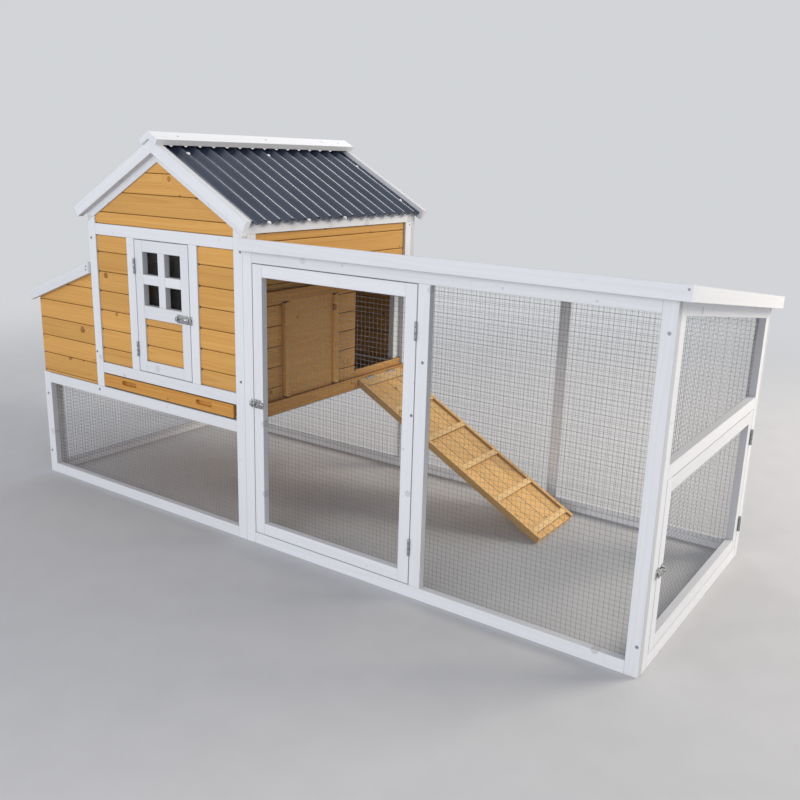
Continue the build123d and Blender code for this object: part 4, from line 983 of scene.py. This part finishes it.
def house_slopes():
    """For each slope of the gable roof, the frame at the middle of its upper edge, its length and width."""
    low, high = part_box("roof_sheets")
    middle = (low + high) / 2
    stack = ROOF_WAVE + SHEET_THICK
    apex = high.z - stack * math.cos(ROOF_ANGLE) + RIDGE_GAP * math.sin(ROOF_ANGLE)
    length = (high.x - middle.x - stack * math.sin(ROOF_ANGLE)) / math.cos(ROOF_ANGLE) - RIDGE_GAP
    slopes = []
    for side in (-1, 1):
        down = Vector((side * math.cos(ROOF_ANGLE), 0.0, -math.sin(ROOF_ANGLE)))
        start = Vector((middle.x, middle.y, apex)) + RIDGE_GAP * down
        slopes.append((slope_place(start, down, (0.0, side, 0.0)), (length, high.y - low.y)))
    return slopes


def house_roof(tree, identifiers, material):
    """The two sheets of the gable roof."""
    meshes = [
        wavy_sheet(tree, identifiers, place, size, ROOF_WAVES, ROOF_WAVE, material)
        for place, size in house_slopes()
    ]
    return stand_for(add_object("roof_sheets_wavy", joined("roof_sheets_wavy", meshes)), "roof_sheets")


house_cover = house_roof(sheet_group, sheet_names, slate)
print(house_cover.name, len(house_cover.data.polygons), "faces")

# %% [markdown]
# The run's sheet has a lower wave and drains to the back. It is carried to its place in the same way,
# and the box of its CAD node gives its size.

# %% Run roof
RUN_FALL = 0.137
RUN_ANGLE = math.atan(RUN_FALL)
RUN_WAVE = 9.0 * MM
RUN_WAVES = 21


def run_roof(tree, identifiers, material):
    """The sheet over the run, which drains to the back."""
    low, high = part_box("run_roof_sheet")
    stack = RUN_WAVE + SHEET_THICK
    start = Vector(((low.x + high.x) / 2, low.y, high.z - stack * math.cos(RUN_ANGLE)))
    length = (high.y - low.y - stack * math.sin(RUN_ANGLE)) / math.cos(RUN_ANGLE)
    place = slope_place(start, (0.0, math.cos(RUN_ANGLE), -math.sin(RUN_ANGLE)), (-1.0, 0.0, 0.0))
    size = (length, high.x - low.x)
    mesh = wavy_sheet(tree, identifiers, place, size, RUN_WAVES, RUN_WAVE, material)
    return stand_for(add_object("run_roof_sheet_wavy", mesh), "run_roof_sheet")


run_cover = run_roof(sheet_group, sheet_names, dull_slate)
print(run_cover.name, len(run_cover.data.polygons), "faces")

# %% [markdown]
# Hinges and sliding bolts are small zinc-plated pieces. The CAD already has their leaves, knuckles,
# staples and knobs, so they keep those shapes and get soft edges and smooth knuckles here. The bolts are
# bright, and the hinges have a darker, older coat.

# %% Steel fittings
STEEL_EDGE = 0.25 * MM
KNUCKLE_ANGLE = math.radians(50.0)


def fitting(node, material):
    """A hinge or bolt node with softened edges."""
    meshes = []
    for triangles in closed_solids(node):
        solid = whole_solid(triangles)
        break_edges(solid, STEEL_EDGE, segments=1)
        mesh = bpy.data.meshes.new(node)
        solid.to_mesh(mesh)
        solid.free()
        meshes.append(mesh)
    meshes[0].materials.append(material)
    mesh = joined(node + "_fitting", meshes)
    mesh.shade_smooth()
    mesh.set_sharp_from_angle(angle=KNUCKLE_ANGLE)
    return stand_for(add_object(node + "_fitting", mesh), node)


bolt_zinc = galvanised("bright zinc bolts", colour(214, 215, 214), colour(146, 148, 149), roughness=0.2)
hinge_zinc = galvanised("dark zinc hinges", colour(178, 180, 182), colour(136, 138, 141), roughness=0.35)
steel_nodes = slot_nodes("steel_fittings")
for node in steel_nodes:
    fitting(node, hinge_zinc if "hinge" in node else bolt_zinc)
print(len(steel_nodes), "steel fittings")

# %% [markdown]
# Screw heads show on the posts, on the bolts and along the ridge, and white caps hold the roof sheets
# down. A screw is a flat head with a cross really cut into it, and a cap is a dome on a thin brim. Both
# are drawn one unit across, from few faces, because they are set many times.

# %% Screw and cap shapes
HEAD_SIDES = 14
HEAD_TALL = 0.12
HEAD_TOP = 0.44
BRIM_TALL = 0.1
BRIM_TOP = 0.46
RIM_RADIUS = 0.5
DOME_RADIUS = 0.38
DOME_RINGS = 8
DOME_LIFT = 0.08
DOME_SQUASH = 0.7
# One cut is a little deeper, so that the floors of the two don't lie in one plane where they cross.
CROSS_CUTS = ((0.56, 0.12, 0.16), (0.12, 0.56, 0.14))


def round_plate(tree, top, tall):
    """A round plate that narrows towards its top."""
    inputs = {"Vertices": HEAD_SIDES, "Radius Top": top, "Radius Bottom": RIM_RADIUS, "Depth": tall}
    return add(tree, "GeometryNodeMeshCone", inputs).outputs[0]


def screw_head(tree):
    """A flat countersunk head with a cross cut into it."""
    head = round_plate(tree, HEAD_TOP, HEAD_TALL)
    cut = add(tree, "GeometryNodeMeshBoolean", {0: head}, operation="DIFFERENCE")
    for size in CROSS_CUTS:
        bar = add(tree, "GeometryNodeMeshCube", {"Size": size}).outputs[0]
        raised = add(tree, "GeometryNodeTransform", {"Geometry": bar, "Translation": (0.0, 0.0, HEAD_TALL)})
        tree.links.new(raised.outputs[0], cut.inputs[1])
    return cut.outputs[0]


def domed_cap(tree):
    """A round cap: a thin brim with a dome on it."""
    brim = round_plate(tree, BRIM_TOP, BRIM_TALL)
    inputs = {"Segments": HEAD_SIDES, "Rings": DOME_RINGS, "Radius": DOME_RADIUS}
    ball = add(tree, "GeometryNodeMeshUVSphere", inputs).outputs[0]
    dome = add(
        tree, "GeometryNodeTransform",
        {"Geometry": ball, "Translation": (0.0, 0.0, DOME_LIFT), "Scale": (1.0, 1.0, DOME_SQUASH)},
    ).outputs[0]
    return together(tree, brim, add(tree, "GeometryNodeSetShadeSmooth", {"Geometry": dome}).outputs[0])


# %% [markdown]
# Geometry Nodes set a shape on many points at once. The points carry the way they face and their size,
# and every head gets its own random turn, from a fixed seed. A body's screws are one mesh that rides on
# it.

# %% Fasteners on points
TURN_SEED = 5


def fastener_tree(name, shape):
    """Sets a shape on points, each facing its own way with a random turn."""
    tree = bpy.data.node_groups.new(name, "GeometryNodeTree")
    identifiers = tree_inputs(tree, {"Places": "GEOMETRY", "Seed": "INT", "Material": "MATERIAL"})
    given = add(tree, "NodeGroupInput").outputs
    carried = "GeometryNodeInputNamedAttribute"
    facing = add(tree, carried, {"Name": "facing"}, data_type="FLOAT_VECTOR").outputs[0]
    size = add(tree, carried, {"Name": "size"}, data_type="FLOAT").outputs[0]
    upright = add(tree, "FunctionNodeAlignRotationToVector", {"Vector": facing}, axis="Z").outputs[0]
    dice = add(
        tree, "FunctionNodeRandomValue", {2: 0.0, 3: math.pi, "Seed": given["Seed"]}, data_type="FLOAT"
    ).outputs[1]
    spin = add(tree, "FunctionNodeAxisAngleToRotation", {"Axis": (0.0, 0.0, 1.0), "Angle": dice}).outputs[0]
    turn = add(
        tree, "FunctionNodeRotateRotation", {"Rotation": upright, "Rotate By": spin}, rotation_space="LOCAL"
    ).outputs[0]
    heads = add(
        tree, "GeometryNodeInstanceOnPoints",
        {"Points": given["Places"], "Instance": shape(tree), "Rotation": turn, "Scale": size},
    ).outputs[0]
    finish_tree(tree, heads, given["Material"])
    return tree, identifiers


def fasteners(name, group, places, body, material):
    """One mesh of screws or caps on a body; each place is a point, the way it faces and its width."""
    tree, identifiers = group
    seeds = bpy.data.meshes.new(name + " places")
    seeds.from_pydata([point for point, facing, width in places], [], [])
    put_values(seeds, "facing", [facing for point, facing, width in places])
    put_values(seeds, "size", [width for point, facing, width in places])
    mesh = grown_mesh(name, tree, identifiers, {"Seed": TURN_SEED, "Material": material}, seeds)
    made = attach(add_object(name, mesh), body)
    print(name, len(places), "places", len(mesh.polygons), "faces")


# %% [markdown]
# Places are written in millimetres from the left front corner of the base, as in the part's drawing, and
# turned into places of the frame. The bolt plates have a screw in each corner, and the keepers one above
# and one below the staple: those are found from the boxes of the plates. The ridge's screws lie on the
# slopes of its cap.

# %% Places of screws
DRAWING_MIDDLE = Vector((1095.0, 428.0, 0.0))
UP = Vector((0.0, 0.0, 1.0))
PAINTED_SCREW = 6.0 * MM
PLATE_SCREW = 4.0 * MM
PLATE_PROUD = 1.2 * MM
PLATE_INSET = 9.5 * MM
PLATE_EDGE = 3.5 * MM
RIDGE_SCREWS = (66, 440, 815)
RIDGE_SCREW_DOWN = 24 * MM


def spot(x, y, z):
    """A point of the coop's drawing in millimetres as a point of the frame."""
    return (Vector((x, y, z)) - DRAWING_MIDDLE) * MM


def plate_screws(box, facing, columns):
    """Screws near the upper and lower edge of a bolt's plate, which lies on the timber."""
    low, high = box
    size = high - low
    side = UP.cross(facing)
    ground = (low + high) / 2 + facing * (PLATE_PROUD - abs(size.dot(facing)) / 2)
    reach = abs(size.dot(side)) / 2 - PLATE_INSET
    rise = size.z / 2 - PLATE_EDGE
    return [
        (ground + across * reach * side + up * rise * UP, facing, PLATE_SCREW)
        for across in columns for up in (-1, 1)
    ]


def solid_box(triangles):
    """The lowest and highest corner of one solid."""
    places = [place for triangle in triangles for index, place in triangle]
    ends = [(min(values), max(values)) for values in zip(*places)]
    return Vector([end[0] for end in ends]), Vector([end[1] for end in ends])


def ridge_screws():
    """Screws along both boards of the ridge cap."""
    low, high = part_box("ridge_cap")
    places = []
    for side in (-1, 1):
        down = Vector((side * math.cos(ROOF_ANGLE), 0.0, -math.sin(ROOF_ANGLE)))
        facing = Vector((side * math.sin(ROOF_ANGLE), 0.0, math.cos(ROOF_ANGLE)))
        for y in RIDGE_SCREWS:
            apex = Vector(((low.x + high.x) / 2, spot(0, y, 0).y, high.z))
            places.append((apex + RIDGE_SCREW_DOWN * down, facing, PAINTED_SCREW))
    return places


print("screws along the ridge", len(ridge_screws()))

# %% [markdown]
# The frame's screws stand on the faces of the posts, and a few small ones, painted over, along the
# ridge, on the fascia and on the lid. Their places were read from the photograph, and the back repeats
# the front.

# %% Screws on the timber and the bolts
FRONT = Vector((0.0, -1.0, 0.0))
BACK = Vector((0.0, 1.0, 0.0))
RIGHT = Vector((1.0, 0.0, 0.0))
TIMBER_SCREW = 8.5 * MM
HOUSE_DEPTH = 856.0
HOUSE_SCREWS = [(312, 857), (306, 486), (306, 357), (967, 865), (961, 491), (15, 293), (12, 80)]
RUN_FRONT_SCREWS = [(1584, 645), (2185, 800), (2190, 78)]
RUN_BACK_SCREWS = [(1584, 645), (2185, 690), (2190, 78)]
FASCIA_SCREW = (2221, -20, 897)
SIDE_POST_SCREW = (975, 825, 904)
LID_SCREWS = [(286, -10, 764), (286, -10, 753)]
RUN_DOOR_SCREW = (1556, 0, 504)
screw_steel = galvanised("dull screw steel", colour(176, 178, 184), colour(136, 138, 144), roughness=0.4)
screws = fastener_tree("screws", screw_head)
frame_screws = [(spot(x, 0, z), FRONT, TIMBER_SCREW) for x, z in HOUSE_SCREWS + RUN_FRONT_SCREWS]
frame_screws += [(spot(x, HOUSE_DEPTH, z), BACK, TIMBER_SCREW) for x, z in HOUSE_SCREWS + RUN_BACK_SCREWS]
frame_screws.append((spot(*FASCIA_SCREW), FRONT, PAINTED_SCREW))
frame_screws.append((spot(*SIDE_POST_SCREW), RIGHT, PAINTED_SCREW))
frame_screws += ridge_screws()
for keeper, facing in zip(closed_solids("bolt_keepers"), (FRONT, FRONT, RIGHT)):
    frame_screws += plate_screws(solid_box(keeper), facing, (0,))
fasteners("frame_screws", screws, frame_screws, "frame", screw_steel)
lid_screws = [(spot(*place), FRONT, PAINTED_SCREW) for place in LID_SCREWS]
fasteners("lid_screws", screws, lid_screws, "nest_lid", screw_steel)
for door, facing in (("house_door", FRONT), ("run_door", FRONT), ("end_door", RIGHT)):
    places = plate_screws(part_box(door + "_latch"), facing, (-1, 1))
    if door == "run_door":
        places.append((spot(*RUN_DOOR_SCREW), FRONT, TIMBER_SCREW))
    fasteners(door + "_screws", screws, places, door, screw_steel)

# %% [markdown]
# The caps sit on crests of the roof sheets, near the ridge and near the eaves. Each is given by the number
# of its wave and its distance down the slope in millimetres. A sine is highest a quarter of the way along.

# %% Caps on the roof
CAP_WIDTH = 13.0 * MM
CREST = 0.25
CAP_CLOUD = (180.0, 180.0, 180.0)
CAP_SPAN = (0.35, 0.7)
CAP_ROUGHNESS = (0.35, 0.5)
CAP_WHITE = colour(232, 233, 234)
CAP_GREY = colour(208, 209, 210)
CAP_CRESTS = [(1, 54), (1, 419), (4, 419), (7, 419), (7, 54), (14, 338), (14, 117)]


def cap_finish():
    """White moulded plastic, slightly weathered."""
    material, tree, shader = new_material("white caps")
    cloud = noise(tree, object_place(tree), CAP_CLOUD, detail=3.0)
    tint = mix(tree, ease(tree, cloud, *CAP_SPAN), CAP_WHITE, CAP_GREY)
    tree.links.new(tint, shader.inputs["Base Color"])
    tree.links.new(ease(tree, cloud, *NOISE_SPAN, *CAP_ROUGHNESS), shader.inputs["Roughness"])
    return material


caps = []
for place, size in house_slopes():
    for wave, down in CAP_CRESTS:
        across = ((wave + CREST) / ROOF_WAVES - 0.5) * size[1]
        top = Vector((down * MM, across, ROOF_WAVE + SHEET_THICK))
        caps.append((place @ top, place.to_3x3() @ UP, CAP_WIDTH))
fasteners("roof_caps", fastener_tree("caps", domed_cap), caps, "frame", cap_finish())

# %% [markdown]
# The window is one clear pane behind the door's bars. It is mostly see-through, a little smoky, with a
# faint haze, so the dark house shows behind it. The nest box's lid has a flat cover in the colour of the
# roof, with a matt, gritty finish. Both are plain shapes, so they keep their CAD meshes.

# %% Window pane and lid cover
PANE_COLOUR = colour(30, 34, 34)
PANE_HAZE = (14.0, 14.0, 14.0)
PANE_ROUGHNESS = (0.04, 0.14)
PANE_COVER = (0.2, 0.3)


def clear_pane():
    """Clear plastic glazing with a slight haze."""
    material, tree, shader = new_material("clear pane")
    haze = noise(tree, object_place(tree), PANE_HAZE, detail=4.0)
    shader.inputs["Base Color"].default_value = PANE_COLOUR
    tree.links.new(ease(tree, haze, *NOISE_SPAN, *PANE_ROUGHNESS), shader.inputs["Roughness"])
    tree.links.new(ease(tree, haze, *NOISE_SPAN, *PANE_COVER), shader.inputs["Alpha"])
    return material


def plain_node(node, material):
    """A CAD node that keeps its own shape and gets a finish."""
    finishes = frame["nodes"][node].data.materials
    finishes.clear()
    finishes.append(material)
    print(node, "in", material.name)


plain_node("house_door_window", clear_pane())
plain_node("nest_lid_sheet", slate_sheet("slate lid felt", shine=0.0, grit_relief=0.6))
